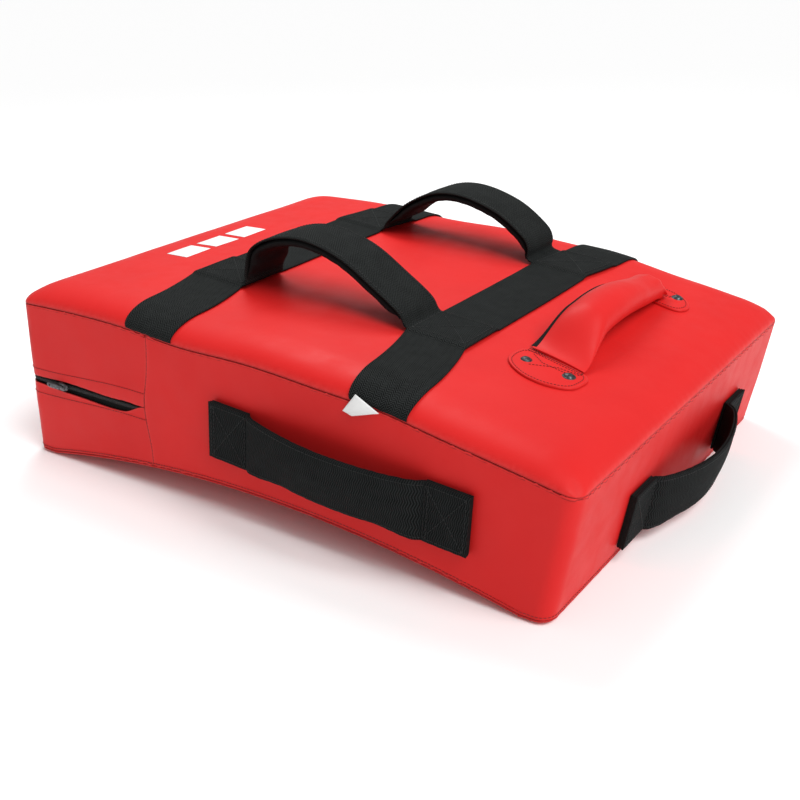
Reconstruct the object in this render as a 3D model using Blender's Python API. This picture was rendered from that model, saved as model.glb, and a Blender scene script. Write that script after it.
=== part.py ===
"""Curved kick shield, lying on its striking face with the holder's side up.

A stuffed foam block arched along its length, in a synthetic leather cover. The holder's side has
two webbing cross straps with two padded body loops and one padded grab handle. The side wall
carries webbing handles on both long sides and on one end, and a zip round the other end.

+X runs along the length towards the end with the handle, -Y is the near long side, +Z is up.
The block stands on the two ends of its arch at z = 0. Units are metres.
"""
import math

import bmesh
import bpy
from mathutils import Vector

# ---- driving dimensions -------------------------------------------------------------------------
HALF_LENGTH = 0.280          # from the middle to each end, along the rear seam
HALF_WIDTH = 0.220
PLAN_CORNER = 0.013          # radius of the upright corners
UNDER_LEFT = -0.283          # the underside's two ends
UNDER_RIGHT = 0.262
REAR_MIDDLE = 0.1451         # height of the rear seam at mid length
REAR_TILT = -0.071           # the stuffed zip end stands taller
REAR_BOW = 0.217             # arch of the rear seam, per metre
UNDER_BOW = 0.43             # arch of the striking face, per metre
UNDER_FLAT = 0.0055          # how much of that arch the two resting ends flatten
CROWN_HEIGHT = 0.016         # the rear panel's swell above its seam
CROWN_RUN = 0.036            # how far in from the seam the swell is complete
UNDER_ROUND = 0.008          # height of the striking face's rounded edge
UNDER_RUN = PLAN_CORNER      # how far in from the wall that edge reaches
UNDER_REST = 0.025           # inner limit of the flat the block rests on

SKIN = 0.0014                # leather with its backing
GAP = 0.0004                 # clearance between touching pieces
SEAM_MARGIN = 0.004          # part of the wall's height left free at each seam
WEBBING = 0.0018

LOW_CUT = 0.30               # heights of the foam layers' joints, as parts of the wall's height
HIGH_CUT = 0.68

ZIP_SEAM = -0.122            # where the zip gusset joins the main gusset
ZIP_HEIGHT = 0.076
ZIP_HALF_GAP = 0.0045        # half the opening between the two zip gussets
COIL_HALF = 0.0014
COIL_THICKNESS = 0.0018
TAPE_EDGE = 0.009
TAPE_THICKNESS = 0.0008

STRAP_WIDTH = 0.057
STRAP_LEFT = -0.135          # centre of each cross strap
STRAP_RIGHT = 0.098
STRAP_DRIFT_NEAR = 0.017      # how far a strap's end bears towards the handle end at each seam
STRAP_DRIFT_FAR = 0.009
STRAP_DRIFT_START = 0.115     # how far from the middle of the width that begins

LOOP_WIDTH = 0.052
LOOP_FOAM = 0.006
LOOP_LINING = 0.0014
LOOP_LEAN = math.radians(30)  # how far a sewn loop leans to each side

HANDLE_WIDTH = 0.050
PATCH_LENGTH = 0.040
HANDLE_LIFT = 0.0065         # a wall handle's feet stand this far off the wall
SIDE_HANDLE_BOW = 0.0195     # how far the middle of each handle stands off the wall
END_HANDLE_BOW = 0.0275
END_HANDLE_HEIGHT = 0.039    # height of the end handle's centre line
END_HANDLE_NEAR = -0.070     # its two patches' inner ends
END_HANDLE_FAR = 0.100
LEAN_SLOPE = 1.0 / math.tan(LOOP_LEAN) - 0.13   # half width allowed per height over the lean axis
LEAN_CLEARANCE = 0.0016
NARROWEST = 0.0018           # half width of a band's feet

ROLL_X = 0.187               # the grab handle's centre line
ROLL_NEAR = -0.070           # its two ends
ROLL_FAR = 0.126
ROLL_RISE = 0.026            # height of its centre over the panel at mid span
ROLL_HALF_WIDTH = 0.0205
ROLL_HALF_HEIGHT = 0.0155
ROLL_END_RISE = 0.0075
ROLL_END_HALF_WIDTH = 0.005
ROLL_END_HALF_HEIGHT = 0.003
ROLL_SKIN = 0.0012
TAB_HALF_WIDTH = 0.029
RIVET_RADIUS = 0.0048
RIVET_HEIGHT = 0.0026
RIVET_SPREAD = 0.019         # each rivet's distance from the roll's centre line
RIVET_INSET_NEAR = 0.019      # how far beyond the roll's end the rivets sit
RIVET_INSET_FAR = 0.012
RIVET_HOLE = 0.0016
WASHER_RADIUS = 0.0055
WASHER_HEIGHT = 0.0008

SLIDER_X = -0.232
SLIDER_HALF_LENGTH = 0.0055
SLIDER_FRONT = 0.0030        # how far the slider stands out from the wall
SLIDER_BACK = 0.0006
SLIDER_MOUTH = 0.0042        # half its height at the open end and at the closing end
SLIDER_NOSE = 0.0030
PULL_LENGTH = 0.019
PULL_THICKNESS = 0.0014

MARK_LEFT = -0.232           # the printed blocks' extent along the length
MARK_RIGHT = -0.206

RED = (0.72, 0.05, 0.045, 1.0)
BLACK = (0.022, 0.024, 0.024, 1.0)
GREY = (0.30, 0.30, 0.31, 1.0)
WHITE = (0.85, 0.85, 0.84, 1.0)
FOAM = (0.55, 0.55, 0.52, 1.0)
STEEL = (0.10, 0.11, 0.12, 1.0)


# ---- shared helpers -----------------------------------------------------------------------------
def clear_scene():
    for item in list(bpy.data.objects):
        bpy.data.objects.remove(item, do_unlink=True)


def material(name, colour, roughness, metallic=0.0):
    made = bpy.data.materials.new(name)
    made.use_nodes = True
    shader = made.node_tree.nodes["Principled BSDF"]
    shader.inputs["Base Color"].default_value = colour
    shader.inputs["Roughness"].default_value = roughness
    shader.inputs["Metallic"].default_value = metallic
    return made


def add_object(name, mesh_maker, colour, roughness=0.6, metallic=0.0, pivot=None):
    """Turn a bmesh into a named object; a moving piece has its origin on its joint's axis."""
    mesh = bpy.data.meshes.new(name)
    bmesh.ops.recalc_face_normals(mesh_maker, faces=mesh_maker.faces)
    mesh_maker.to_mesh(mesh)
    mesh_maker.free()
    mesh.shade_smooth()
    mesh.set_sharp_from_angle(angle=math.radians(40))
    made = bpy.data.objects.new(name, mesh)
    made.data.materials.append(material(name, colour, roughness, metallic))
    bpy.context.scene.collection.objects.link(made)
    if pivot is not None:
        for vertex in mesh.vertices:
            vertex.co = vertex.co - pivot
        made.location = pivot
    return made


def mix(a, b, amount):
    return a + (b - a) * amount


def spline(points, count):
    """Evenly spaced points on a smooth curve through the given ones (Catmull-Rom)."""
    ends = [points[0] * 2 - points[1]] + list(points) + [points[-1] * 2 - points[-2]]
    dense = []
    for i in range(1, len(ends) - 2):
        p0, p1, p2, p3 = ends[i - 1], ends[i], ends[i + 1], ends[i + 2]
        for step in range(24):
            t = step / 24
            dense.append(0.5 * (2 * p1 + (p2 - p0) * t + (2 * p0 - 5 * p1 + 4 * p2 - p3) * t * t
                                + (3 * p1 - p0 - 3 * p2 + p3) * t * t * t))
    dense.append(points[-1].copy())
    lengths = [0.0]
    for a, b in zip(dense, dense[1:]):
        lengths.append(lengths[-1] + (b - a).length)
    out, j = [], 0
    for i in range(count + 1):
        goal = lengths[-1] * i / count
        while j < len(lengths) - 2 and lengths[j + 1] < goal:
            j += 1
        part = (goal - lengths[j]) / (lengths[j + 1] - lengths[j])
        out.append(mix(dense[j], dense[j + 1], part))
    return out


# ---- the block's surfaces -----------------------------------------------------------------------
def under_x(u):
    """u runs from -HALF_LENGTH to HALF_LENGTH along the rear seam, where it is also x."""
    return mix(UNDER_LEFT, UNDER_RIGHT, (u + HALF_LENGTH) / (2 * HALF_LENGTH))


def rear_seam_z(x):
    return REAR_MIDDLE + REAR_TILT * x - REAR_BOW * x * x


def under_z(x):
    return max(0.0, UNDER_BOW * (x - UNDER_LEFT) * (UNDER_RIGHT - x) - UNDER_FLAT)


def wall_point(u, v, height):
    """A point on the side wall; height is 0 at the underside's seam and 1 at the rear seam."""
    low = Vector((under_x(u), v, under_z(under_x(u)) + UNDER_ROUND))
    high = Vector((u, v, rear_seam_z(u)))
    return mix(low, high, height)


def wall_fraction(u, z):
    low = under_z(under_x(u)) + UNDER_ROUND
    return (z - low) / (rear_seam_z(u) - low)


def crown_angle(inset):
    """The swell's edge is a quarter ellipse; this is its angle at a distance in from the seam."""
    return math.acos(1 - min(inset, CROWN_RUN) / CROWN_RUN)


def rear_point(x, v, inset, side, lift):
    """A point over the rear panel, lift metres along its normal. side is the plan's outward way."""
    angle = crown_angle(inset)
    out, up = CROWN_HEIGHT * math.cos(angle), CROWN_RUN * math.sin(angle)
    size = math.hypot(out, up)
    return Vector((x + side[0] * lift * out / size, v + side[1] * lift * out / size,
                   rear_seam_z(x) + CROWN_HEIGHT * math.sin(angle) + lift * up / size))


def rear_top(x, y):
    """Height of the rear panel away from its upright corners."""
    inset = min(HALF_WIDTH - abs(y), HALF_LENGTH - abs(x))
    return rear_seam_z(x) + CROWN_HEIGHT * math.sin(crown_angle(inset))


def strike_point(u, v, inset, side, lift):
    """A point on the striking face, lift metres into the block from it."""
    angle = math.acos(1 - min(inset, UNDER_RUN) / UNDER_RUN)
    out, down = UNDER_ROUND * math.cos(angle), UNDER_RUN * math.sin(angle)
    size = math.hypot(out, down)
    x = under_x(u)
    return Vector((x - side[0] * lift * out / size, v - side[1] * lift * out / size,
                   under_z(x) + UNDER_ROUND * (1 - math.sin(angle)) + lift * down / size))


# ---- plan outlines ------------------------------------------------------------------------------
LONG_STEPS = 14
SHORT_STEPS = 8
CORNER_STEPS = 3


def plan_ring(inset, shrink=0.0):
    """A rounded rectangle in plan as (u, v, outward side), counter-clockwise."""
    half_u, half_v = HALF_LENGTH - inset - shrink, HALF_WIDTH - inset - shrink
    radius = max(PLAN_CORNER - inset - shrink, 0.0)
    straight_u, straight_v = half_u - radius, half_v - radius
    ring = []
    sides = [((-straight_u, -half_v), (straight_u, -half_v), LONG_STEPS, -90),
             ((half_u, -straight_v), (half_u, straight_v), SHORT_STEPS, 0),
             ((straight_u, half_v), (-straight_u, half_v), LONG_STEPS, 90),
             ((-half_u, straight_v), (-half_u, -straight_v), SHORT_STEPS, 180)]
    for (u0, v0), (u1, v1), steps, facing in sides:
        way = (math.cos(math.radians(facing)), math.sin(math.radians(facing)))
        for i in range(steps + 1):
            ring.append((mix(u0, u1, i / steps), mix(v0, v1, i / steps), way))
        centre_u, centre_v = u1 - way[0] * radius, v1 - way[1] * radius
        for i in range(1, CORNER_STEPS):
            angle = math.radians(facing + 90 * i / CORNER_STEPS)
            turn = (math.cos(angle), math.sin(angle))
            ring.append((centre_u + radius * turn[0], centre_v + radius * turn[1], turn))
    return ring


def sheet_layout(insets, shrink=0.0):
    """Nested rings from the edge inwards, then a plain grid: (u, v, inset, side) and faces."""
    spots, faces = [], []
    rings = []
    for inset in insets:
        ring = plan_ring(inset, shrink)
        rings.append(range(len(spots), len(spots) + len(ring)))
        spots += [(u, v, inset, side) for u, v, side in ring]
    count = len(rings[0])
    for outer, inner in zip(rings, rings[1:]):
        for i in range(count):
            j = (i + 1) % count
            faces.append((outer[i], outer[j], inner[j], inner[i]))
    last = insets[-1]
    half_u, half_v = HALF_LENGTH - last - shrink, HALF_WIDTH - last - shrink
    start = len(spots)
    for row in range(SHORT_STEPS + 1):
        for column in range(LONG_STEPS + 1):
            u = mix(-half_u, half_u, column / LONG_STEPS)
            v = mix(-half_v, half_v, row / SHORT_STEPS)
            spots.append((u, v, last, (0.0, 0.0)))
    for row in range(SHORT_STEPS):
        for column in range(LONG_STEPS):
            a = start + row * (LONG_STEPS + 1) + column
            faces.append((a, a + 1, a + LONG_STEPS + 2, a + LONG_STEPS + 1))
    return spots, faces, list(rings[0])


def slab(name, insets, top, bottom, colour, shrink=0.0, roughness=0.6):
    """A closed sheet or layer: top and bottom map a plan spot to a point."""
    spots, faces, edge = sheet_layout(insets, shrink)
    shape = bmesh.new()
    upper = [shape.verts.new(top(*spot)) for spot in spots]
    lower = [shape.verts.new(bottom(*spot)) for spot in spots]
    for face in faces:
        shape.faces.new([upper[i] for i in face])
        shape.faces.new([lower[i] for i in reversed(face)])
    for i, a in enumerate(edge):
        b = edge[(i + 1) % len(edge)]
        shape.faces.new((lower[a], lower[b], upper[b], upper[a]))
    bmesh.ops.remove_doubles(shape, verts=shape.verts, dist=0.00002)
    return add_object(name, shape, colour, roughness)


# ---- swept bands and small solids ---------------------------------------------------------------
def loft(name, sections, colour, roughness=0.6, metallic=0.0, pivot=None, hollow=False):
    """Join rings of points into one closed body; hollow sections end in a joining rim."""
    shape = bmesh.new()
    rings = [[shape.verts.new(point) for point in section] for section in sections]
    count = len(rings[0])
    pairs = list(zip(rings, rings[1:]))
    if hollow:
        pairs.append((rings[-1], rings[0]))
    for first, second in pairs:
        for i in range(count):
            j = (i + 1) % count
            shape.faces.new((first[i], first[j], second[j], second[i]))
    if not hollow:
        shape.faces.new(list(reversed(rings[0])))
        shape.faces.new(rings[-1])
    return add_object(name, shape, colour, roughness, metallic, pivot)


def path_normals(path, across, outward):
    """Unit normals of a band along its path, on the side that outward points to."""
    normals = []
    for i in range(len(path)):
        before, after = path[max(i - 1, 0)], path[min(i + 1, len(path) - 1)]
        normals.append((after - before).normalized().cross(across))
    if normals[len(path) // 2].dot(outward) < 0:
        normals = [-normal for normal in normals]
    return normals


def band_sections(path, normals, across, half_widths, outer, inner):
    """Sections of a flat band, with its two faces' offsets from the path."""
    sections = []
    for point, normal, half in zip(path, normals, half_widths):
        wide = across * half
        sections.append([point + normal * outer - wide, point + normal * outer + wide,
                         point + normal * inner + wide, point + normal * inner - wide])
    return sections


def lean_half_widths(path, normals, inner, base, rise, full):
    """Half widths that keep a leaning band's inner face clear of what its feet are sewn to.

    base is the height of the lean axis along rise, as a function of the path point.
    """
    widths = []
    for point, normal in zip(path, normals):
        height = (point + normal * inner).dot(rise) - base(point)
        widths.append(min(full, max(NARROWEST, LEAN_SLOPE * height - LEAN_CLEARANCE)))
    return widths


def disc(name, centre, normal, radius, height, hole=0.0):
    """A low domed rivet cap, or with a hole a flat washer."""
    turn = Vector((0, 0, 1)).rotation_difference(normal)
    if hole:
        profile = [(hole, 0), (radius, 0), (radius, height), (hole, height)]
    else:
        profile = [(radius, 0), (radius, height * 0.25), (radius * 0.82, height * 0.72),
                   (radius * 0.45, height * 0.95)]
    rings = []
    for r, z in profile:
        rings.append([centre + turn @ Vector((r * math.cos(a), r * math.sin(a), z))
                      for a in (2 * math.pi * k / 16 for k in range(16))])
    return loft(name, rings, STEEL, 0.35, 0.9, hollow=bool(hole))


def box(name, corners, colour, roughness=0.6, metallic=0.0, pivot=None):
    """A six-sided solid from its bottom four and top four corners."""
    return loft(name, [corners[:4], corners[4:]], colour, roughness, metallic, pivot)


# ---- cover and foam -----------------------------------------------------------------------------
def build_panels():
    crown_insets = [0.0, 0.001, 0.004, 0.009, 0.016, 0.025, CROWN_RUN]
    slab("rear_panel", crown_insets,
         lambda u, v, inset, side: rear_point(u, v, inset, side, 0.0),
         lambda u, v, inset, side: rear_point(u, v, inset, side, -SKIN), RED)
    round_insets = [0.0, 0.001, 0.003, 0.006, 0.009, UNDER_RUN, UNDER_REST]
    slab("strike_panel", round_insets,
         lambda u, v, inset, side: strike_point(u, v, inset, side, SKIN),
         lambda u, v, inset, side: strike_point(u, v, inset, side, 0.0), RED)


def wall_strip(name, start, end, low, high, depth, thickness, colour):
    """A strip of the side wall between two stations of the plan outline.

    low and high give the strip's edge heights at a station; depth is how far behind the wall's
    face it lies.
    """
    outline = plan_ring(0.0)
    count = len(outline)
    stations = [outline[i % count] for i in range(start, end + 1)]
    right_of_seam = stations[len(stations) // 2][0] > ZIP_SEAM
    seam = ZIP_SEAM + (GAP / 2 if right_of_seam else -GAP / 2)
    stations[0] = (seam,) + stations[0][1:]
    stations[-1] = (seam,) + stations[-1][1:]
    sections = []
    for u, v, side in stations:
        bottom = wall_point(u, v, low(u))
        top = wall_point(u, v, high(u))
        middle = mix(bottom, top, 0.5)
        way = Vector((side[0], side[1], 0.0))
        front, back = -way * depth, -way * (depth + thickness)
        sections.append([bottom + front, middle + front, top + front,
                         top + back, middle + back, bottom + back])
    return loft(name, sections, colour)


def seam_low(_u):
    return SEAM_MARGIN


def seam_high(_u):
    return 1 - SEAM_MARGIN


def by_zip(offset):
    """A strip edge that runs level, offset metres above the zip's middle."""
    return lambda u: wall_fraction(u, ZIP_HEIGHT + offset)


def build_gussets():
    # The plan outline starts at the near left corner and runs along the near side first.
    outline = plan_ring(0.0)
    near_index = min(range(LONG_STEPS + 1), key=lambda i: abs(outline[i][0] - ZIP_SEAM))
    far_index = 2 * (LONG_STEPS + CORNER_STEPS) + SHORT_STEPS - near_index
    next_near = near_index + len(outline)
    wall_strip("main_gusset", near_index, far_index, seam_low, seam_high, 0.0, SKIN, RED)
    wall_strip("zip_gusset_upper", far_index, next_near, by_zip(ZIP_HALF_GAP), seam_high,
               0.0, SKIN, RED)
    wall_strip("zip_gusset_lower", far_index, next_near, seam_low, by_zip(-ZIP_HALF_GAP),
               0.0, SKIN, RED)
    behind = SKIN + GAP
    wall_strip("zip_tape_upper", far_index, next_near, by_zip(COIL_HALF + GAP), by_zip(TAPE_EDGE),
               behind, TAPE_THICKNESS, BLACK)
    wall_strip("zip_tape_lower", far_index, next_near, by_zip(-TAPE_EDGE), by_zip(-COIL_HALF - GAP),
               behind, TAPE_THICKNESS, BLACK)
    wall_strip("zip_coil", far_index, next_near, by_zip(-COIL_HALF), by_zip(COIL_HALF),
               SKIN - GAP, COIL_THICKNESS, BLACK)


def build_foams():
    """Three layers: soft foam under the rear panel, firmer core, dense foam behind the strike."""
    inset = 2 * SKIN + TAPE_THICKNESS + 2 * GAP

    def level(fraction, offset):
        def place(u, v, _inset, _side):
            return wall_point(u, v, fraction) + Vector((0, 0, offset))
        return place

    def strike_inner(u, v, distance, side):
        return strike_point(u, v, distance + inset, side, SKIN + 2.5 * GAP)

    def rear_inner(u, v, distance, side):
        return rear_point(u, v, distance + inset, side, -SKIN - WASHER_HEIGHT - 2.5 * GAP)

    slab("strike_foam", [0.0, 0.001, 0.004, UNDER_RUN, UNDER_REST], level(LOW_CUT, -GAP),
         strike_inner, FOAM, inset)
    slab("core_foam", [0.0, 0.020], level(HIGH_CUT, -GAP), level(LOW_CUT, GAP), FOAM, inset)
    slab("rear_foam", [0.0, 0.004, 0.012, 0.022, CROWN_RUN], rear_inner, level(HIGH_CUT, GAP),
         FOAM, inset)


# ---- webbing ------------------------------------------------------------------------------------
def strap_drift(v):
    """How far a strap has moved towards the handle end at v across the block."""
    part = max(0.0, (abs(v) - STRAP_DRIFT_START) / (HALF_WIDTH - STRAP_DRIFT_START))
    return (STRAP_DRIFT_NEAR if v < 0 else STRAP_DRIFT_FAR) * part * (2 - part)


def build_cross_straps():
    """Flat webbing over the crown from seam to seam."""
    insets = [0.0, 0.001, 0.004, 0.009, 0.016, 0.025, CROWN_RUN]
    inner = HALF_WIDTH - CROWN_RUN
    steps = 16
    middle = [mix(-inner, inner, i / steps) for i in range(1, steps)]
    route = [(-(HALF_WIDTH - inset), inset, -1.0) for inset in insets]
    route += [(v, CROWN_RUN, 0.0) for v in middle]
    route += [(HALF_WIDTH - inset, inset, 1.0) for inset in reversed(insets)]
    for name, centre in (("cross_strap_left", STRAP_LEFT), ("cross_strap_right", STRAP_RIGHT)):
        sections = []
        for v, inset, facing in route:
            edges = [centre + strap_drift(v) + STRAP_WIDTH * (i / 2 - 0.5) for i in range(3)]
            under = [rear_point(u, v, inset, (0.0, facing), GAP) for u in edges]
            over = [rear_point(u, v, inset, (0.0, facing), GAP + WEBBING) for u in edges]
            sections.append(under + over[::-1])
        loft(name, sections, BLACK, 0.8)


def strap_top(x, y):
    return rear_top(x, y) + GAP + WEBBING


def build_loop(prefix, y, outline):
    """A padded loop: outer webbing, foam and lining, standing across the two straps."""
    path = spline([Vector((x, y, z)) for x, z in outline], 16)
    left_x, right_x = outline[0][0], outline[-1][0]
    foot_left = Vector((left_x, y, strap_top(left_x, y)))
    foot_right = Vector((right_x, y, strap_top(right_x, y)))
    across, up = Vector((0, 1, 0)), Vector((0, 0, 1))

    def axis_height(point):
        return mix(foot_left.z, foot_right.z, (point.x - left_x) / (right_x - left_x))

    foam_top = -WEBBING - GAP
    lining_top = foam_top - LOOP_FOAM - GAP
    innermost = lining_top - LOOP_LINING
    normals = path_normals(path, across, up)
    widths = lean_half_widths(path, normals, innermost, axis_height, up, LOOP_WIDTH / 2)
    layers = [("webbing", 0.0, -WEBBING, 0.0, BLACK),
              ("foam", foam_top, foam_top - LOOP_FOAM, 0.0015, FOAM),
              ("lining", lining_top, innermost, 0.0, BLACK)]
    for layer, outer, inner, margin, colour in layers:
        halves = [max(width - margin, NARROWEST) for width in widths]
        sections = band_sections(path, normals, across, halves, outer, inner)
        loft(prefix + "_" + layer, sections, colour, 0.8, pivot=foot_left)


def build_loops():
    near_y, far_y = -0.086, 0.134
    lift, upright = 0.0034, 0.0130
    near_left, near_right = strap_top(-0.104, near_y), strap_top(0.067, near_y)
    build_loop("near_loop", near_y,
               [(-0.104, near_left + lift), (-0.104, near_left + upright), (-0.097, 0.203),
                (-0.070, 0.216), (-0.036, 0.219), (0.002, 0.210), (0.036, 0.191),
                (0.064, near_right + upright), (0.067, near_right + lift)])
    far_left, far_right = strap_top(-0.105, far_y), strap_top(0.066, far_y)
    build_loop("far_loop", far_y,
               [(-0.105, far_left + lift), (-0.102, far_left + upright), (-0.078, 0.196),
                (-0.046, 0.212), (-0.012, 0.214), (0.028, 0.203), (0.058, 0.184),
                (0.066, far_right + upright), (0.066, far_right + lift)])


def build_wall_handle(name, centre_line, outward, stand_off):
    """A bowed webbing handle and its two flat sewn patches.

    centre_line holds the two patches' inner ends; outward is the wall's normal.
    """
    start, end = centre_line
    along = (end - start).normalized()
    across = outward.cross(along).normalized()
    span = (end - start).length
    path = []
    steps = 14
    for i in range(steps + 1):
        part = i / steps
        bow = math.sin(math.pi * part) ** 0.55 if 0 < part < 1 else 0.0
        path.append(start + along * mix(0.004, span - 0.004, part)
                    + outward * mix(HANDLE_LIFT, stand_off, bow))
    back = -WEBBING / 2 - GAP
    normals = path_normals(path, across, outward)
    widths = lean_half_widths(path, normals, back - WEBBING, lambda point: start.dot(outward),
                              outward, HANDLE_WIDTH / 2)
    loft(name + "_webbing",
         band_sections(path, normals, across, widths, WEBBING / 2, -WEBBING / 2), BLACK, 0.8,
         pivot=start)
    loft(name + "_lining",
         band_sections(path, normals, across, widths, back, back - WEBBING), BLACK, 0.8,
         pivot=start)
    for tag, foot, way in (("a", start, -along), ("b", end, along)):
        wide = across * HANDLE_WIDTH / 2
        near_edge, far_edge = foot, foot + way * PATCH_LENGTH
        corners = []
        for depth in (GAP, GAP + WEBBING):
            lift = outward * depth
            corners += [near_edge - wide + lift, far_edge - wide + lift,
                        far_edge + wide + lift, near_edge + wide + lift]
        box(name + "_patch_" + tag, corners, BLACK, 0.8)


def build_wall_handles():
    left, right = Vector((-0.010, 0, 0.080)), Vector((0.158, 0, 0.069))
    for name, facing in (("side_handle_near", -1), ("side_handle_far", 1)):
        wall = Vector((0, facing * HALF_WIDTH, 0))
        outward = Vector((0, facing, 0))
        build_wall_handle(name, (left + wall, right + wall), outward, SIDE_HANDLE_BOW)
    low, high = wall_point(HALF_LENGTH, 0, 0), wall_point(HALF_LENGTH, 0, 1)
    slope = (high - low).normalized()
    outward = Vector((slope.z, 0, -slope.x))
    foot_x = low.x + slope.x / slope.z * (END_HANDLE_HEIGHT - low.z)
    feet = [Vector((foot_x, y, END_HANDLE_HEIGHT)) for y in (END_HANDLE_NEAR, END_HANDLE_FAR)]
    build_wall_handle("end_handle", feet, outward, END_HANDLE_BOW)


# ---- grab handle --------------------------------------------------------------------------------
def roll_ring(part, shrink, count=14):
    """One section of the grab handle's roll; part runs from its near to its far end."""
    swell = math.sin(math.pi * part) ** 0.7 if 0 < part < 1 else 0.0
    y = mix(ROLL_NEAR, ROLL_FAR, part)
    centre_z = rear_top(ROLL_X, y) + mix(ROLL_END_RISE, ROLL_RISE, swell)
    half_height = mix(ROLL_END_HALF_HEIGHT, ROLL_HALF_HEIGHT, swell) - shrink
    half_width = mix(ROLL_END_HALF_WIDTH, ROLL_HALF_WIDTH, swell) - shrink
    return [Vector((ROLL_X + half_width * math.cos(a), y, centre_z + half_height * math.sin(a)))
            for a in (2 * math.pi * k / count for k in range(count))]


def build_grab_handle():
    pivot = Vector((ROLL_X, ROLL_NEAR, rear_top(ROLL_X, ROLL_NEAR) + 0.002))
    steps = 14
    parts = [i / steps for i in range(steps + 1)]
    outer = [roll_ring(part, 0.0) for part in parts]
    inner = [roll_ring(part, ROLL_SKIN) for part in reversed(parts)]
    loft("grab_cover", outer + inner, RED, 0.45, pivot=pivot, hollow=True)
    core_parts = [mix(0.06, 0.94, i / 12) for i in range(13)]
    loft("grab_core", [roll_ring(part, ROLL_SKIN + 2 * GAP) for part in core_parts], FOAM, 0.9,
         pivot=pivot)
    near_shape = [(-1.0, 0.0), (1.0, 0.0), (1.15, 0.014), (1.12, 0.032), (0.95, 0.0405),
                  (0.35, 0.0465), (-0.33, 0.0445), (-0.90, 0.032), (-1.05, 0.014)]
    far_shape = [(-1.0, 0.0), (1.0, 0.0), (1.10, 0.012), (0.70, 0.026), (0.10, 0.036),
                 (-0.50, 0.032), (-1.02, 0.012)]
    build_tab("near", ROLL_NEAR - GAP, -1.0, RIVET_INSET_NEAR, near_shape)
    build_tab("far", ROLL_FAR + GAP, 1.0, RIVET_INSET_FAR, far_shape)


def build_tab(tag, root, way, rivet_inset, shape):
    """A flat sewn tab with two rivets, whose washers lie behind the rear panel."""
    outline = [(TAB_HALF_WIDTH * across, out) for across, out in shape]
    rings = []
    for height in (GAP, GAP + SKIN):
        rings.append([Vector((ROLL_X + x, root + way * y,
                              rear_top(ROLL_X + x, root + way * y) + height))
                      for x, y in outline])
    loft("grab_tab_" + tag, rings, RED, 0.45)
    for label, side in (("left", -1), ("right", 1)):
        x, y = ROLL_X + side * RIVET_SPREAD, root + way * rivet_inset
        normal = Vector((-(REAR_TILT - 2 * REAR_BOW * x), 0, 1)).normalized()
        surface = Vector((x, y, rear_top(x, y)))
        disc("rivet_%s_%s" % (tag, label), surface + normal * (SKIN + 2.5 * GAP), normal,
             RIVET_RADIUS, RIVET_HEIGHT)
        disc("washer_%s_%s" % (tag, label), surface - normal * (SKIN + GAP + WASHER_HEIGHT),
             normal, WASHER_RADIUS, WASHER_HEIGHT, RIVET_HOLE)


def build_zip_slider():
    """The slider straddles the coil on the near side; its pull tab lies back along the zip."""
    front, back = -HALF_WIDTH - SLIDER_FRONT, -HALF_WIDTH - SLIDER_BACK
    open_end, closing_end = SLIDER_X - SLIDER_HALF_LENGTH, SLIDER_X + SLIDER_HALF_LENGTH
    corners = []
    for y in (back, front):
        corners += [Vector((open_end, y, ZIP_HEIGHT - SLIDER_MOUTH)),
                    Vector((closing_end, y, ZIP_HEIGHT - SLIDER_NOSE)),
                    Vector((closing_end, y, ZIP_HEIGHT + SLIDER_NOSE)),
                    Vector((open_end, y, ZIP_HEIGHT + SLIDER_MOUTH))]
    box("zip_slider", corners, GREY, 0.35, 0.9)
    pull_back = front - 1.5 * GAP
    pull_front = pull_back - PULL_THICKNESS
    hinge = Vector((SLIDER_X, pull_front + PULL_THICKNESS * 0.43, ZIP_HEIGHT))
    corners = []
    for y in (pull_back, pull_front):
        for side, half, reach in ((-1, 0.0022, -PULL_LENGTH), (1, 0.0022, -PULL_LENGTH),
                                  (1, 0.0030, 0.0005), (-1, 0.0030, 0.0005)):
            corners.append(Vector((SLIDER_X + reach, y, ZIP_HEIGHT + side * half)))
    box("zip_pull", corners, GREY, 0.35, 0.9, pivot=hinge)


def build_small_pieces():
    """The care label out of the near seam, and three plain blocks printed on the rear panel."""
    face = -HALF_WIDTH
    seam = [Vector((0.086, face - 0.0012, rear_seam_z(0.086) - 0.006)),
            Vector((0.120, face - 0.0012, rear_seam_z(0.120) - 0.006))]
    tip = [Vector((0.112, face - 0.0032, rear_seam_z(0.112) - 0.017)),
           Vector((0.084, face - 0.0032, rear_seam_z(0.084) - 0.019))]
    outline = seam + tip
    box("care_label", outline + [point + Vector((0, -0.0005, 0)) for point in outline], WHITE, 0.9)
    blocks = (("mark_bar_near", -0.078, -0.044), ("mark_square", -0.036, -0.002),
              ("mark_bar_far", 0.006, 0.040))
    for name, low, high in blocks:
        corners = []
        for lift in (GAP, 2 * GAP + 0.0002):
            for x, y in ((MARK_LEFT, low), (MARK_RIGHT, low), (MARK_RIGHT, high), (MARK_LEFT, high)):
                corners.append(Vector((x, y, rear_top(x, y) + lift)))
        box(name, corners, WHITE, 0.5)


def centre_in_plan():
    """Move the origin to the middle of the whole object, its end handle included."""
    ends = [piece.location.x + vertex.co.x
            for piece in bpy.data.objects for vertex in piece.data.vertices]
    middle = (min(ends) + max(ends)) / 2
    for piece in bpy.data.objects:
        piece.location.x -= middle


def main():
    clear_scene()
    build_panels()
    build_gussets()
    build_foams()
    build_cross_straps()
    build_loops()
    build_wall_handles()
    build_grab_handle()
    build_zip_slider()
    build_small_pieces()
    centre_in_plan()


main()
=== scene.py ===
"""Looks of the curved kick shield: leather cover, webbing, padded loops, zip, stitching, light.

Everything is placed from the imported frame. Lengths are metres, +X is the handle end, +Z is up.
"""
import bisect
import math

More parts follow.
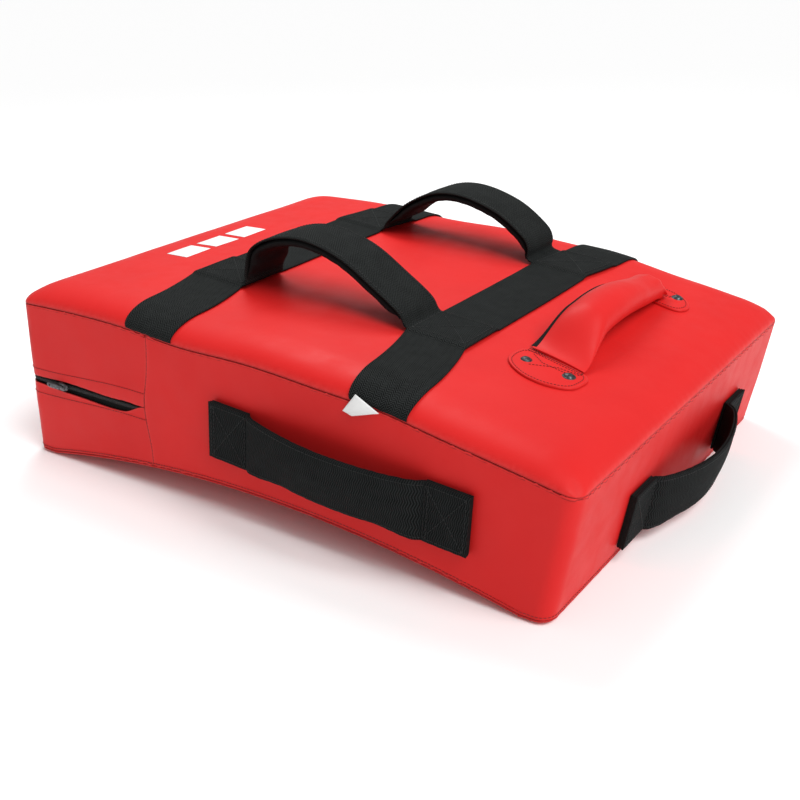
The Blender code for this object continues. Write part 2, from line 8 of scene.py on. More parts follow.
import bmesh
import bpy
import numpy as np
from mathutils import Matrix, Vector, noise


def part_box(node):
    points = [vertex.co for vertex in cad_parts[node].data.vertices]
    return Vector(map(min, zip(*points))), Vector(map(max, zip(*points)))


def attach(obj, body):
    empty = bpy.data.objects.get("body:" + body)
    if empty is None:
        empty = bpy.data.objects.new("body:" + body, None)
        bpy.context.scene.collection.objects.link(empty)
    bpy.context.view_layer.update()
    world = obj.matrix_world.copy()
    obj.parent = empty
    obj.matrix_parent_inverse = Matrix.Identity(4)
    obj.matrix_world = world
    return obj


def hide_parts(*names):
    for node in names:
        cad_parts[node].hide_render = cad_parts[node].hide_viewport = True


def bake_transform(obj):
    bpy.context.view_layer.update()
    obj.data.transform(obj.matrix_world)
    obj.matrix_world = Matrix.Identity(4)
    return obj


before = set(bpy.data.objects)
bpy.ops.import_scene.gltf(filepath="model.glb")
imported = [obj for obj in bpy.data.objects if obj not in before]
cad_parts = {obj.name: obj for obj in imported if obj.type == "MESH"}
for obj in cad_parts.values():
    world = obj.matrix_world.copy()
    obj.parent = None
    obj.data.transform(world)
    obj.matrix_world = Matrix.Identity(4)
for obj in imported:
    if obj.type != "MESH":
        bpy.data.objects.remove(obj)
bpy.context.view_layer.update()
UP = Vector((0, 0, 1))
OPEN = (False, False)        # a grid without caps


# ---- what the frame says ------------------------------------------------------------------------
def cad_points(node):
    return np.array([vertex.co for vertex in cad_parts[node].data.vertices])


def cad_centre(node):
    """Middle and half size of a CAD node's box."""
    low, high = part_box(node)
    return (low + high) / 2, (high - low) / 2


REAR_LOW, REAR_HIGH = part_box("rear_panel")
STRIKE_LOW, STRIKE_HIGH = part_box("strike_panel")
MIDDLE_X = (REAR_LOW.x + REAR_HIGH.x) / 2
HALF_LENGTH = (REAR_HIGH.x - REAR_LOW.x) / 2
HALF_WIDTH = REAR_HIGH.y

rear_cloud = cad_points("rear_panel")
seam_cloud = rear_cloud[np.abs(rear_cloud[:, 1]) > HALF_WIDTH - 0.0001]
SEAM_CURVE = np.polyfit(seam_cloud[:, 0], seam_cloud[:, 2], 2)
strike_cloud = cad_points("strike_panel")
arch_xs = np.unique(np.round(strike_cloud[:, 0], 4))
arch = [(x, strike_cloud[np.abs(strike_cloud[:, 0] - x) < 0.0002][:, 2].min()) for x in arch_xs]
arch = np.array([(x, z) for x, z in arch if z > 0.002 and abs(x) < 0.2])
UNDER_CURVE = np.polyfit(arch[:, 0], arch[:, 1], 2)

CROWN_RUN = 0.036            # how far in from the seam the rear panel's swell is complete
CROWN_HEIGHT = float(np.max(rear_cloud[:, 2] - np.polyval(SEAM_CURVE, rear_cloud[:, 0])))
UNDER_ROUND = 0.0038         # height and run of the striking face's rounded edge
UNDER_RUN = 0.013
PLAN_CORNER = 0.013
LEATHER = 0.00098            # thickness of a leather sheet
LIP = 0.0011                 # radius of the turned-in edges at a seam
LIP_STEPS = 3
RIM = 0.0012                 # how far the worn edge and the painted seam shade reach from a seam
WEB = 0.0018                 # webbing
ZIP_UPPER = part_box("zip_gusset_upper")
ZIP_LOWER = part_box("zip_gusset_lower")
ZIP_SEAM_X = ZIP_UPPER[1].x
ZIP_HEIGHT = (ZIP_UPPER[0].z + ZIP_LOWER[1].z) / 2 if ZIP_LOWER[1].z < ZIP_UPPER[0].z else 0.076


# ---- small helpers ------------------------------------------------------------------------------
def mix(a, b, amount):
    return a + (b - a) * amount


def clamp(value):
    return min(max(value, 0.0), 1.0)


def smooth(low, high, value):
    amount = clamp((value - low) / (high - low))
    return amount * amount * (3 - 2 * amount)


def bell(value, middle, spread):
    return math.exp(-((value - middle) / spread) ** 2)


def soft_noise(x, y, z, scale, seed=0.0):
    return noise.noise(Vector((x / scale + seed, y / scale - seed, z / scale + 0.5 * seed)))


def circle(count):
    """(cosine, sine) of count equal turns."""
    turns = [2 * math.pi * k / count for k in range(count)]
    return [(math.cos(turn), math.sin(turn)) for turn in turns]


def power(value, exponent):
    """A power that keeps its sign, for squarish ovals."""
    return math.copysign(abs(value) ** exponent, value)


def cumulative(points):
    """Distances along a polyline to each of its points."""
    lengths = [0.0]
    for a, b in zip(points, points[1:]):
        lengths.append(lengths[-1] + (b - a).length)
    return lengths


def spot_at(lengths, distance):
    """The segment that holds a distance along a polyline, and the part of it passed."""
    j = min(max(bisect.bisect_left(lengths, distance) - 1, 0), len(lengths) - 2)
    return j, clamp((distance - lengths[j]) / max(lengths[j + 1] - lengths[j], 1e-9))


def even(points, count, values=None):
    """count + 1 points, or values given for them, at equal distances along a polyline."""
    lengths = cumulative(points)
    values = values or points
    spots = [spot_at(lengths, lengths[-1] * i / count) for i in range(count + 1)]
    return [mix(values[j], values[j + 1], part) for j, part in spots]


def spline(points, count):
    """Evenly spaced points on a smooth curve through the given ones (Catmull-Rom)."""
    ends = [points[0] * 2 - points[1]] + list(points) + [points[-1] * 2 - points[-2]]
    dense = []
    for p0, p1, p2, p3 in zip(ends, ends[1:], ends[2:], ends[3:]):
        for step in range(24):
            t = step / 24
            dense.append(0.5 * (2 * p1 + (p2 - p0) * t + (2 * p0 - 5 * p1 + 4 * p2 - p3) * t * t
                                + (3 * p1 - p0 - 3 * p2 + p3) * t * t * t))
    dense.append(points[-1].copy())
    return even(dense, count)


def grid(count, place):
    """Rows of place(a, b) with a and b from 0 to 1."""
    return [[place(i / count, j / count) for j in range(count + 1)] for i in range(count + 1)]


def make_object(name, shape, material, body=None, replaces=(), flat_angle=50,
                recalc=True):
    """A bmesh becomes a named piece with its finish, riding on a CAD body."""
    if recalc:
        bmesh.ops.recalc_face_normals(shape, faces=shape.faces)
    mesh = bpy.data.meshes.new(name)
    shape.to_mesh(mesh)
    shape.free()
    mesh.shade_smooth()
    mesh.set_sharp_from_angle(angle=math.radians(flat_angle))
    piece = bpy.data.objects.new(name, mesh)
    bpy.context.scene.collection.objects.link(piece)
    mesh.materials.append(material)
    if replaces:
        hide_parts(*replaces)
    if body:
        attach(piece, body)
    return piece


def add_grid(shape, rows, rims=None, wrap_rows=False, wrap_columns=True, caps=(True, True),
             uvs=None):
    """Faces over rows of points, with caps on the first and last row; returns the vertices.

    uvs gives (u, v) in metres for each point, rims the value of its worn edge and painted seam shade.
    """
    rim_layer = shape.verts.layers.float.new("edge_wear_and_shade") if rims else None
    layer = shape.loops.layers.uv.verify() if uvs else None
    verts = [[shape.verts.new(point) for point in row] for row in rows]
    if rims:
        for vert_row, rim_row in zip(verts, rims):
            for vertex, edge_wear_and_shade in zip(vert_row, rim_row):
                vertex[rim_layer] = edge_wear_and_shade
    count, width = len(rows), len(rows[0])
    for i in range(count if wrap_rows else count - 1):
        for j in range(width if wrap_columns else width - 1):
            spots = [(i, j), (i + 1, j), (i + 1, j + 1), (i, j + 1)]
            face = shape.faces.new([verts[a % count][b % width] for a, b in spots])
            if layer:
                for loop, (a, b) in zip(face.loops, spots):
                    loop[layer].uv = uvs(a, b)
    if caps[0]:
        shape.faces.new(verts[0][::-1])
    if caps[1]:
        shape.faces.new(verts[-1])
    return verts


def surface(name, rows, material, body, slot, replaces=(), flat_angle=50, merge=0.0,
            recalc=True, **how):
    """Rows of points become a named piece."""
    shape = bmesh.new()
    add_grid(shape, rows, **how)
    if merge:
        bmesh.ops.remove_doubles(shape, verts=shape.verts, dist=merge)
    return make_object(name, shape, material, body, replaces, flat_angle, recalc)


def thicken(piece, thickness):
    """Give a sheet its thickness, away from its face side, and apply it."""
    solid = piece.modifiers.new("thickness", "SOLIDIFY")
    solid.thickness = thickness
    solid.offset = -1
    apply_modifiers(piece)


def apply_modifiers(piece):
    graph = bpy.context.evaluated_depsgraph_get()
    graph.update()
    mesh = bpy.data.meshes.new_from_object(piece.evaluated_get(graph))
    piece.modifiers.clear()
    piece.data = mesh


# ---- materials ----------------------------------------------------------------------------------
class Nodes:
    """A short way to write a material's nodes; colours are (red, green, blue)."""

    def __init__(self, name, roughness, specular=0.5, metallic=0.0):
        self.material = bpy.data.materials.new(name)
        self.material.use_nodes = True
        self.tree = self.material.node_tree
        self.shader = self.tree.nodes["Principled BSDF"]
        self.feed(self.shader, {"Roughness": roughness, "Specular IOR Level": specular,
                                "Metallic": metallic})
        self.place = self.coordinate("Object")

    def feed(self, node, inputs):
        for key, value in inputs.items():
            if isinstance(value, bpy.types.NodeSocket):
                self.tree.links.new(value, node.inputs[key])
            elif value is not None:
                node.inputs[key].default_value = value
        return node

    def add(self, kind, inputs, **settings):
        node = self.tree.nodes.new(kind)
        for key, value in settings.items():
            setattr(node, key, value)
        return self.feed(node, inputs)

    def math(self, operation, *values):
        return self.add("ShaderNodeMath", dict(enumerate(values)), operation=operation).outputs[0]

    def coordinate(self, kind):
        return self.add("ShaderNodeTexCoord", {}).outputs[kind]

    def noise(self, scale, detail=2.0, roughness=0.5):
        return self.add("ShaderNodeTexNoise", {"Vector": self.place, "Scale": scale,
                                               "Detail": detail, "Roughness": roughness}).outputs[0]

    def wave(self, value, pitch):
        """A sine of a distance with a pitch in metres."""
        return self.math("SINE", self.math("MULTIPLY", value, 2 * math.pi / pitch))

    def remap(self, value, low, high, to_low, to_high):
        return self.add("ShaderNodeMapRange", {"Value": value, "From Min": low, "From Max": high,
                                               "To Min": to_low, "To Max": to_high}).outputs[0]

    def blend(self, amount, *colours):
        first, second = [colour if isinstance(colour, bpy.types.NodeSocket) else (*colour, 1.0)
                         for colour in colours]
        return self.add("ShaderNodeMix", {0: amount, 6: first, 7: second},
                        data_type="RGBA").outputs[2]

    def finish(self, colour, roughness, height, distance, strength=1.0):
        """Link the colour, roughness and a bump of the height; return the material."""
        bump = self.add("ShaderNodeBump", {"Height": height, "Distance": distance,
                                           "Strength": strength}).outputs[0]
        self.feed(self.shader, {"Base Color": colour, "Roughness": roughness, "Normal": bump})
        return self.material


SEAM_PAINTED_SHADE = (0.13, 0.004, 0.004)   # painted shade: the dark line drawn where two pieces of leather meet


def leather_material(name, dark, main, light, roughness=0.48):
    """Satin coated leather: fine pebble grain, faint mottling, paler worn edges and painted seam
    shade.
    """
    n = Nodes(name, roughness, 0.15)
    mottle = n.remap(n.noise(14, 3), 0.3, 0.7, 0.0, 1.0)
    colour = n.blend(n.math("MULTIPLY", mottle, 0.55), main, dark)
    edge_wear_and_shade = n.add("ShaderNodeAttribute", {}, attribute_name="edge_wear_and_shade").outputs["Fac"]
    scuff = n.remap(n.noise(260, 2), 0.35, 0.65, 0.35, 1.0)
    colour = n.blend(n.math("MULTIPLY", edge_wear_and_shade, scuff), colour, light)
    # Painted shade: the parts right at a seam are darkened towards a dark red line.
    colour = n.blend(n.remap(edge_wear_and_shade, 0.64, 0.84, 0.0, 0.70), colour, SEAM_PAINTED_SHADE)
    grain = n.add("ShaderNodeTexVoronoi", {"Vector": n.place, "Scale": 950},
                  feature="SMOOTH_F1").outputs[0]
    height = n.math("ADD", n.math("MULTIPLY", grain, 0.6), n.math("MULTIPLY", n.noise(2200, 2), 0.35))
    height = n.math("ADD", height, n.math("MULTIPLY", n.noise(120, 4, 0.6), 0.9))
    rough = n.remap(n.noise(45, 3), 0.3, 0.7, roughness - 0.05, roughness + 0.07)
    return n.finish(colour, rough, height, 0.00012, 0.45)


def webbing_material(name, dark, light, column, pitch, steep):
    """Zigzag twill webbing, read from the piece's UVs in metres (u across, v along)."""
    n = Nodes(name, 0.74, 0.07)
    split = n.add("ShaderNodeSeparateXYZ", {"Vector": n.coordinate("UV")})
    across, along = split.outputs[0], split.outputs[1]
    zigzag = n.math("PINGPONG", across, column)
    rib = n.wave(n.math("ADD", along, n.math("MULTIPLY", zigzag, steep)), pitch)
    warp = n.wave(across, 0.0016)
    height = n.math("ADD", n.math("MULTIPLY", rib, 0.5),
                    n.math("MULTIPLY", n.math("MULTIPLY", rib, warp), 0.28))
    fuzz = n.noise(1900, 3)
    height = n.math("ADD", height, n.math("MULTIPLY", fuzz, 0.6))
    dust = n.remap(n.noise(85, 3), 0.35, 0.7, 0.0, 0.12)
    # Painted light and shade: raised ribs are painted lighter and the grooves between them darker,
    # with dust added on top.
    rib_shade_and_dust = n.math("ADD", n.remap(height, 0.05, 0.95, 0.0, 1.0), dust)
    return n.finish(n.blend(rib_shade_and_dust, dark, light), n.remap(fuzz, 0.3, 0.7, 0.66, 0.82), height, 0.00045)


def lining_material():
    """Soft black nylon lining with a plain weave."""
    n = Nodes("lining_fabric", 0.8, 0.12)
    split = n.add("ShaderNodeSeparateXYZ", {"Vector": n.coordinate("UV")})
    weave = n.math("MULTIPLY", n.wave(split.outputs[0], 0.0009), n.wave(split.outputs[1], 0.0009))
    height = n.math("ADD", weave, n.math("MULTIPLY", n.noise(400, 3), 0.8))
    # Painted shade: the colour follows the weave's height, darker in its grooves, with random tone
    # from the noise.
    colour = n.blend(n.remap(height, -0.4, 1.4, 0.0, 1.0), (0.004, 0.004, 0.004),
                     (0.014, 0.015, 0.015))
    return n.finish(colour, None, height, 0.00014, 0.5)


def thread_material(name, dark, light):
    n = Nodes(name, 0.55, 0.4)
    twist = n.add("ShaderNodeTexWave", {"Vector": n.place, "Scale": 900, "Distortion": 1.5}).outputs[1]
    # Painted light and shade: the colour follows the twist, lighter on the raised plies.
    return n.finish(n.blend(twist, dark, light), None, twist, 0.0001, 0.5)


def foam_material(name, dark, light, cell):
    """Foam: open or closed cells as small pits."""
    n = Nodes(name, 0.9, 0.2)
    cells = n.add("ShaderNodeTexVoronoi", {"Vector": n.place, "Scale": cell}).outputs[0]
    # Painted shade: each cell is darker towards its hollow centre.
    return n.finish(n.blend(cells, dark, light), None, cells, 0.0006, 0.6)


def metal_material(name, colour, worn, roughness):
    """Painted or plated metal with rubbed high spots."""
    n = Nodes(name, roughness, 0.5, 0.9)
    rub = n.remap(n.noise(420, 4), 0.48, 0.7, 0.0, 1.0)
    rough = n.remap(n.noise(900, 2), 0.3, 0.7, roughness - 0.06, roughness + 0.12)
    return n.finish(n.blend(rub, colour, worn), rough, n.noise(1500, 3), 0.00005, 0.4)


def cloth_material(name, base, line):
    """Satin label cloth with a fine weave."""
    n = Nodes(name, 0.6, 0.4)
    weave = n.add("ShaderNodeTexWave", {"Vector": n.place, "Scale": 700, "Distortion": 0.6}).outputs[1]
    return n.finish(n.blend(n.remap(weave, 0, 1, 0.0, 0.5), base, line), None, weave, 0.00008, 0.4)


def print_material():
    """Thick screen print: slightly mottled, softly glossy white."""
    n = Nodes("mark_print", 0.42, 0.45)
    speck = n.remap(n.noise(700, 3), 0.35, 0.7, 0.0, 1.0)
    return n.finish(n.blend(speck, (0.93, 0.93, 0.93), (0.84, 0.84, 0.85)), None, n.noise(1100, 3),
                    0.00008, 0.5)


RED = leather_material("red_leather", (0.60, 0.012, 0.012), (0.67, 0.018, 0.017),
                       (0.72, 0.040, 0.038))
CHEVRON = webbing_material("webbing_chevron", (0.0015, 0.0018, 0.0018), (0.034, 0.038, 0.037),
                           0.0034, 0.0021, 1.0)
RIBBED = webbing_material("webbing_ribbed", (0.0013, 0.0016, 0.0016), (0.026, 0.029, 0.029),
                          0.0052, 0.0019, 0.35)
ZIP_TAPE = webbing_material("zip_tape", (0.004, 0.004, 0.004), (0.02, 0.02, 0.02),
                            0.0034, 0.0021, 1.0)
LINING = lining_material()
BLACK_THREAD = thread_material("black_thread", (0.003, 0.003, 0.003), (0.016, 0.018, 0.018))
RED_THREAD = thread_material("red_thread", (0.11, 0.004, 0.004), (0.22, 0.008, 0.008))
ZIP_COIL = thread_material("zip_coil", (0.010, 0.010, 0.010), (0.035, 0.035, 0.035))
SOFT_FOAM = foam_material("soft_foam", (0.50, 0.50, 0.46), (0.62, 0.62, 0.58), 900)
DENSE_FOAM = foam_material("dense_foam", (0.09, 0.09, 0.10), (0.15, 0.15, 0.16), 1500)
ZIP_METAL = metal_material("zip_metal", (0.075, 0.075, 0.08), (0.26, 0.26, 0.27), 0.38)
GUNMETAL = metal_material("rivet_metal", (0.045, 0.052, 0.055), (0.14, 0.15, 0.16), 0.42)
LABEL = cloth_material("label_cloth", (0.88, 0.88, 0.87), (0.80, 0.80, 0.79))
LABEL_INK = cloth_material("label_ink", (0.52, 0.52, 0.52), (0.60, 0.60, 0.60))
PRINT = print_material()


# ---- the block's surfaces -----------------------------------------------------------------------
def settling(x):
    """How the used cover sags a little by the zip and stays full by the label."""
    return 0.0025 * bell(x, 0.106, 0.040) - 0.0046 * bell(x, -0.093, 0.055)


def seam_z(x):
    return float(np.polyval(SEAM_CURVE, x)) + settling(x)


def under_z(x):
    return max(0.0, float(np.polyval(UNDER_CURVE, x)))


def under_x(x):
    """The underside's x below a point of the rear seam at x."""
    return mix(STRIKE_LOW.x, STRIKE_HIGH.x, (x - REAR_LOW.x) / (2 * HALF_LENGTH))


def quarter(part):
    """A quarter circle's height, from 0 at part 0 to 1 at part 1."""
    return math.sqrt(1 - (1 - clamp(part)) ** 2)


def swell(inset):
    return quarter(inset / CROWN_RUN)


def undulation(x, y):
    """How the stuffing makes the rear panel rise and dip a little."""
    return 0.0011 * soft_noise(x, y, 0, 0.13, 3.1) + 0.0004 * soft_noise(x, y, 0, 0.045, 7.7)


def rear_height(x, y):
    """Height of the rear panel away from its upright corners."""
    full = swell(HALF_LENGTH - abs(x - MIDDLE_X)) * swell(HALF_WIDTH - abs(y))
    return seam_z(x) + full * (CROWN_HEIGHT + undulation(x, y))


def crown_edge(x, y, facing, lift):
    """A point lift metres over the rear panel near a long side, where it rolls down to the seam."""
    angle = math.acos(1 - clamp((HALF_WIDTH - abs(y)) / CROWN_RUN))
    out, up = CROWN_HEIGHT * math.cos(angle), CROWN_RUN * math.sin(angle)
    size = math.hypot(out, up)
    z = seam_z(x) + math.sin(angle) * (CROWN_HEIGHT + undulation(x, y))
    return Vector((x, y + facing * lift * out / size, z + lift * up / size))


def puckers(along, from_seam, seed):
    """Small gathers beside a sewn seam."""
    if from_seam > 0.022:
        return 0.0
    strength = 0.5 + 0.5 * soft_noise(along, seed, 0, 0.05, seed)
    wave = math.sin(2 * math.pi * along / 0.0105 + 3.0 * soft_noise(along, seed, 0, 0.03))
    return 0.00026 * strength * wave * math.exp(-from_seam / 0.005)


def lip_profile(step):
    """A seam edge turned in: (inward, past the seam line) for step 0 at the face to LIP_STEPS."""
    angle = math.pi / 2 * step / LIP_STEPS
    return LIP * (1 - math.cos(angle)), LIP * math.sin(angle)


def leather(name, spots, node, merge):
    """A sheet of leather from rows of (point, rim)."""
    rows = [[point for point, _rim in row] for row in spots]
    rims = [[edge_wear_and_shade for _point, edge_wear_and_shade in row] for row in spots]
    piece = surface(name, rows, RED, "pad", "red_leather", [node], merge=merge, rims=rims,
                    wrap_columns=False, caps=OPEN)
    thicken(piece, LEATHER)


def plan_lines(half, fine, pitch):
    """A panel's grid lines as (signed inset, side): negative insets are steps past the seam."""
    lines = [-float(step) for step in range(LIP_STEPS, 0, -1)] + list(fine)
    count = max(2, round((half - fine[-1]) / pitch))
    lines += [mix(fine[-1], half, i / count) for i in range(1, count)]
    return [(v, -1) for v in lines] + [(half, 1)] + [(v, 1) for v in lines[::-1]]


def plan_spot(inset_x, inset_y, side_x, side_y):
    """Where a grid point of a panel lies in plan: (x, y, outward, steps past the seam)."""
    nearest = min(inset_x, inset_y)
    ring = max(nearest, 0.0)
    radius = max(PLAN_CORNER - ring, 0.0)
    beyond = max(max(inset_x, inset_y), 0.0) - ring
    half_x, half_y = HALF_LENGTH - ring, HALF_WIDTH - ring
    if beyond < radius:
        turn = math.radians(45) * (1 - beyond / radius)
        if inset_y < inset_x:
            turn = math.radians(90) - turn
        way = (math.cos(turn), math.sin(turn))
        x, y = half_x - radius + radius * way[0], half_y - radius + radius * way[1]
    elif inset_x <= inset_y:
        way, x, y = (1.0, 0.0), half_x, HALF_WIDTH - max(inset_y, 0.0)
    else:
        way, x, y = (0.0, 1.0), HALF_LENGTH - max(inset_x, 0.0), half_y
    return x * side_x, y * side_y, Vector((way[0] * side_x, way[1] * side_y, 0)), max(-nearest, 0.0)


def panel(name, fine, pitch, place, node):
    """A leather panel over the whole plan; place maps a plan spot to (point, rim)."""
    spots = []
    for inset_x, side_x in plan_lines(HALF_LENGTH, fine, pitch):
        row = []
        for inset_y, side_y in plan_lines(HALF_WIDTH, fine, pitch):
            x, y, way, past = plan_spot(inset_x, inset_y, side_x, side_y)
            nearest = max(min(inset_x, inset_y), 0.0)
            along = x if inset_y < inset_x else y
            point = place(x, y, (inset_x, inset_y), way, past, nearest, along)
            # The edge value gives paler wear and, right at the seam, painted shade.
            row.append((point, 0.75 * math.exp(-nearest / RIM)))
        spots.append(row)
    leather(name, spots, node, 0.00002)


def rear_spot(x, y, insets, way, past, nearest, along):
    inward, below = lip_profile(past)
    place = Vector((MIDDLE_X + x, y, seam_z(MIDDLE_X + x))) - way * inward
    full = swell(insets[0]) * swell(insets[1])
    place.z += full * (CROWN_HEIGHT + undulation(place.x, place.y)) + (LIP - below) * (1 - full)
    gather = puckers(along, nearest, 1.3) if past == 0 else 0.0
    out = math.exp(-nearest / 0.010)
    return place + way * gather * out + UP * gather * (1 - out)


def strike_spot(x, y, insets, way, past, nearest, along):
    inward, above = lip_profile(past)
    rounded = 1 - quarter(insets[0] / UNDER_RUN) * quarter(insets[1] / UNDER_RUN)
    low_x = under_x(MIDDLE_X + x)
    z = under_z(low_x) + (UNDER_ROUND + above - LIP) * rounded
    gather = puckers(along, nearest, 5.9) if past == 0 else 0.0
    return Vector((low_x, y, z)) - way * (inward - gather * math.exp(-nearest / 0.008))


REAR_FINE = (0.0, 0.0007, 0.0018, 0.0034, 0.0055, 0.0080, 0.0105, 0.0130)
UNDER_FINE = (0.0, 0.0008, 0.0022, 0.0045, 0.0080, 0.0130)
panel("rear_cover", REAR_FINE, 0.0028, rear_spot, "rear_panel")
panel("strike_cover", UNDER_FINE, 0.0060, strike_spot, "strike_panel")


# ---- side walls ---------------------------------------------------------------------------------
WALL_PITCH = 0.0028
WALL_ROWS = 11               # rows of a wall strip between its finely divided edges
WALL_FINE = (0.0, 0.0007, 0.0018, 0.0034, 0.0055, 0.0085)


def plan_outline(pitch):
    """Stations round the plan: (x, y, outward), counter-clockwise from the near left corner."""
    half_x, half_y = HALF_LENGTH - PLAN_CORNER, HALF_WIDTH - PLAN_CORNER
    sides = [((-half_x, -HALF_WIDTH), (half_x, -HALF_WIDTH), -90),
             ((HALF_LENGTH, -half_y), (HALF_LENGTH, half_y), 0),
             ((half_x, HALF_WIDTH), (-half_x, HALF_WIDTH), 90),
             ((-HALF_LENGTH, half_y), (-HALF_LENGTH, -half_y), 180)]
    stations = []
    for (x0, y0), (x1, y1), facing in sides:
        turns = [math.radians(facing + 90 * i / 7) for i in range(7)]
        ways = [Vector((math.cos(turn), math.sin(turn), 0)) for turn in turns]
        steps = round(math.hypot(x1 - x0, y1 - y0) / pitch)
        stations += [(mix(x0, x1, i / steps), mix(y0, y1, i / steps), ways[0])
                     for i in range(steps + 1)]
        stations += [(x1 + PLAN_CORNER * (way.x - ways[0].x), y1 + PLAN_CORNER * (way.y - ways[0].y),
                      way) for way in ways[1:]]
    return stations


def wall_ends(x, y):
    """The wall's lowest and highest points over a plan station, both at the seams."""
    low_x = under_x(MIDDLE_X + x)
    return (Vector((low_x, y, under_z(low_x) + UNDER_ROUND)),
            Vector((MIDDLE_X + x, y, seam_z(MIDDLE_X + x))))


def wall_bulge(point):
    """The stuffed wall stands out a little between its seams, but not under the slider's way."""
    bulge = (0.0004 + 0.0005 * soft_noise(point.x, point.y, point.z, 0.07, 2.2)
             + 0.0003 * soft_noise(point.x, point.y, point.z, 0.03, 9.1))
    by_zip = bell(point.z, ZIP_HEIGHT, 0.010) * smooth(0.0, 0.006, ZIP_SEAM_X - point.x)
    return bulge * (1 - 0.9 * by_zip)


def seam_bend(x, z):
    """The sewn-in zip panel pulls its end seam into a shallow bend at the zip's height."""
    bend = 0.0015 - 0.0065 * bell(z, ZIP_HEIGHT + 0.004, 0.030) + 0.0040 * bell(z, 0.010, 0.030)
    return bend * bell(x + MIDDLE_X, ZIP_SEAM_X, 0.030)


def wall_at(x, y, way, z):
    """A point on the bulging wall at a height."""
    low, high = wall_ends(x, y)
    part = (z - low.z) / (high.z - low.z)
    point = mix(low, high, part)
    point.x += seam_bend(x, z) * math.sin(math.pi * clamp(part)) ** 0.3 * abs(way.y)
    return point + way * wall_bulge(point) * math.sin(math.pi * part)


def strip_heights(low, high):
    """Rows of a wall strip: (height, turned-in steps, distance to the nearest edge)."""
    rows = [(low, step, 0.0) for step in range(LIP_STEPS, 0, -1)]
    rows += [(low + edge, 0, edge) for edge in WALL_FINE]
    for i in range(1, WALL_ROWS):
        z = mix(low + WALL_FINE[-1], high - WALL_FINE[-1], i / WALL_ROWS)
        rows.append((z, 0, min(z - low, high - z)))
    rows += [(high - edge, 0, edge) for edge in reversed(WALL_FINE)]
    rows += [(high, step, 0.0) for step in range(1, LIP_STEPS + 1)]
    return rows


def wall_strip(name, stations, low_at, high_at, node, open_side=0):
    """A strip of side wall between two heights; open_side is -1 or 1 where an edge is a zip lip."""
    turned = range(LIP_STEPS, 0, -1)
    columns = [(stations[0], step) for step in turned] + [(spot, 0) for spot in stations]
    columns += [(stations[-1], step) for step in reversed(turned)]
    last = len(stations) - 1
    spots = []
    for index, ((x, y, way), end_step) in enumerate(columns):
        high = high_at(x, y)
        station = min(max(index - LIP_STEPS, 0), last)
        from_end = min(station, last - station) * WALL_PITCH
        along = math.atan2(way.y, way.x) * PLAN_CORNER + x * abs(way.y) + y * abs(way.x)
        row = []
        for z, step, edge in strip_heights(low_at(x, y), high):
            gather = 0.0
            if step == 0 and end_step == 0:
                gather = puckers(along, edge, 4.4) + puckers(z, from_end, 8.8)
            inward = max(lip_profile(step)[0], lip_profile(end_step)[0])
            point = wall_at(x, y, way, z) + way * (gather - inward)
            side = 1 if z == high else -1
            if edge == 0.0 and side != open_side:
                point.z += side * (lip_profile(step)[1] - LIP)
            # The edge value gives paler wear and, right at the seam, painted shade.
            row.append((point, 0.85 * math.exp(-min(edge, from_end) / RIM)))
        spots.append(row)
    leather(name, spots, node, 0.00001)


def seam_low(x, y):
    return wall_ends(x, y)[0].z


def seam_high(x, y):
    return wall_ends(x, y)[1].z


def zip_distance(x, y):
    """Distance along the wall from the seam where the zip ends, on either long side."""
    if abs(y) > HALF_WIDTH - 0.0001:
        return max(ZIP_SEAM_X - MIDDLE_X - x, 0.0)
    return 0.2


def zip_lip(side):
    """Height of the zip's upper (1) or lower (-1) lip; the end seam pulls the zip's line up."""
    def height(x, y):
        distance = zip_distance(x, y)
        opened = 0.0051 * smooth(0.000, 0.031, distance)
        gap = 0.00015 + opened * (1 - 0.38 * smooth(0.100, 0.150, distance))
        middle = (ZIP_HEIGHT - 0.0006 - 0.0014 * bell(distance, 0.050, 0.030)
                  + 0.0040 * bell(distance, 0, 0.019))
        return middle + side * gap
    return height


def build_walls():
    """The main strip and the two zip strips; returns the zip's stations."""
    outline = plan_outline(WALL_PITCH)
    seam_x = ZIP_SEAM_X - MIDDLE_X
    near, far = [min(range(len(outline)), key=lambda i, side=side: abs(outline[i][0] - seam_x)
                     + (outline[i][1] * side > 0)) for side in (1, -1)]
    near_end, far_end = (seam_x,) + outline[near][1:], (seam_x,) + outline[far][1:]
    zipped = [far_end] + outline[far + 1:] + outline[:near] + [near_end]
    wall_strip("main_wall", [near_end] + outline[near + 1:far] + [far_end], seam_low, seam_high,
               "main_gusset")
    wall_strip("zip_wall_upper", zipped, zip_lip(1), seam_high, "zip_gusset_upper", open_side=-1)
    wall_strip("zip_wall_lower", zipped, seam_low, zip_lip(-1), "zip_gusset_lower", open_side=1)
    return zipped


ZIP_STATIONS = build_walls()


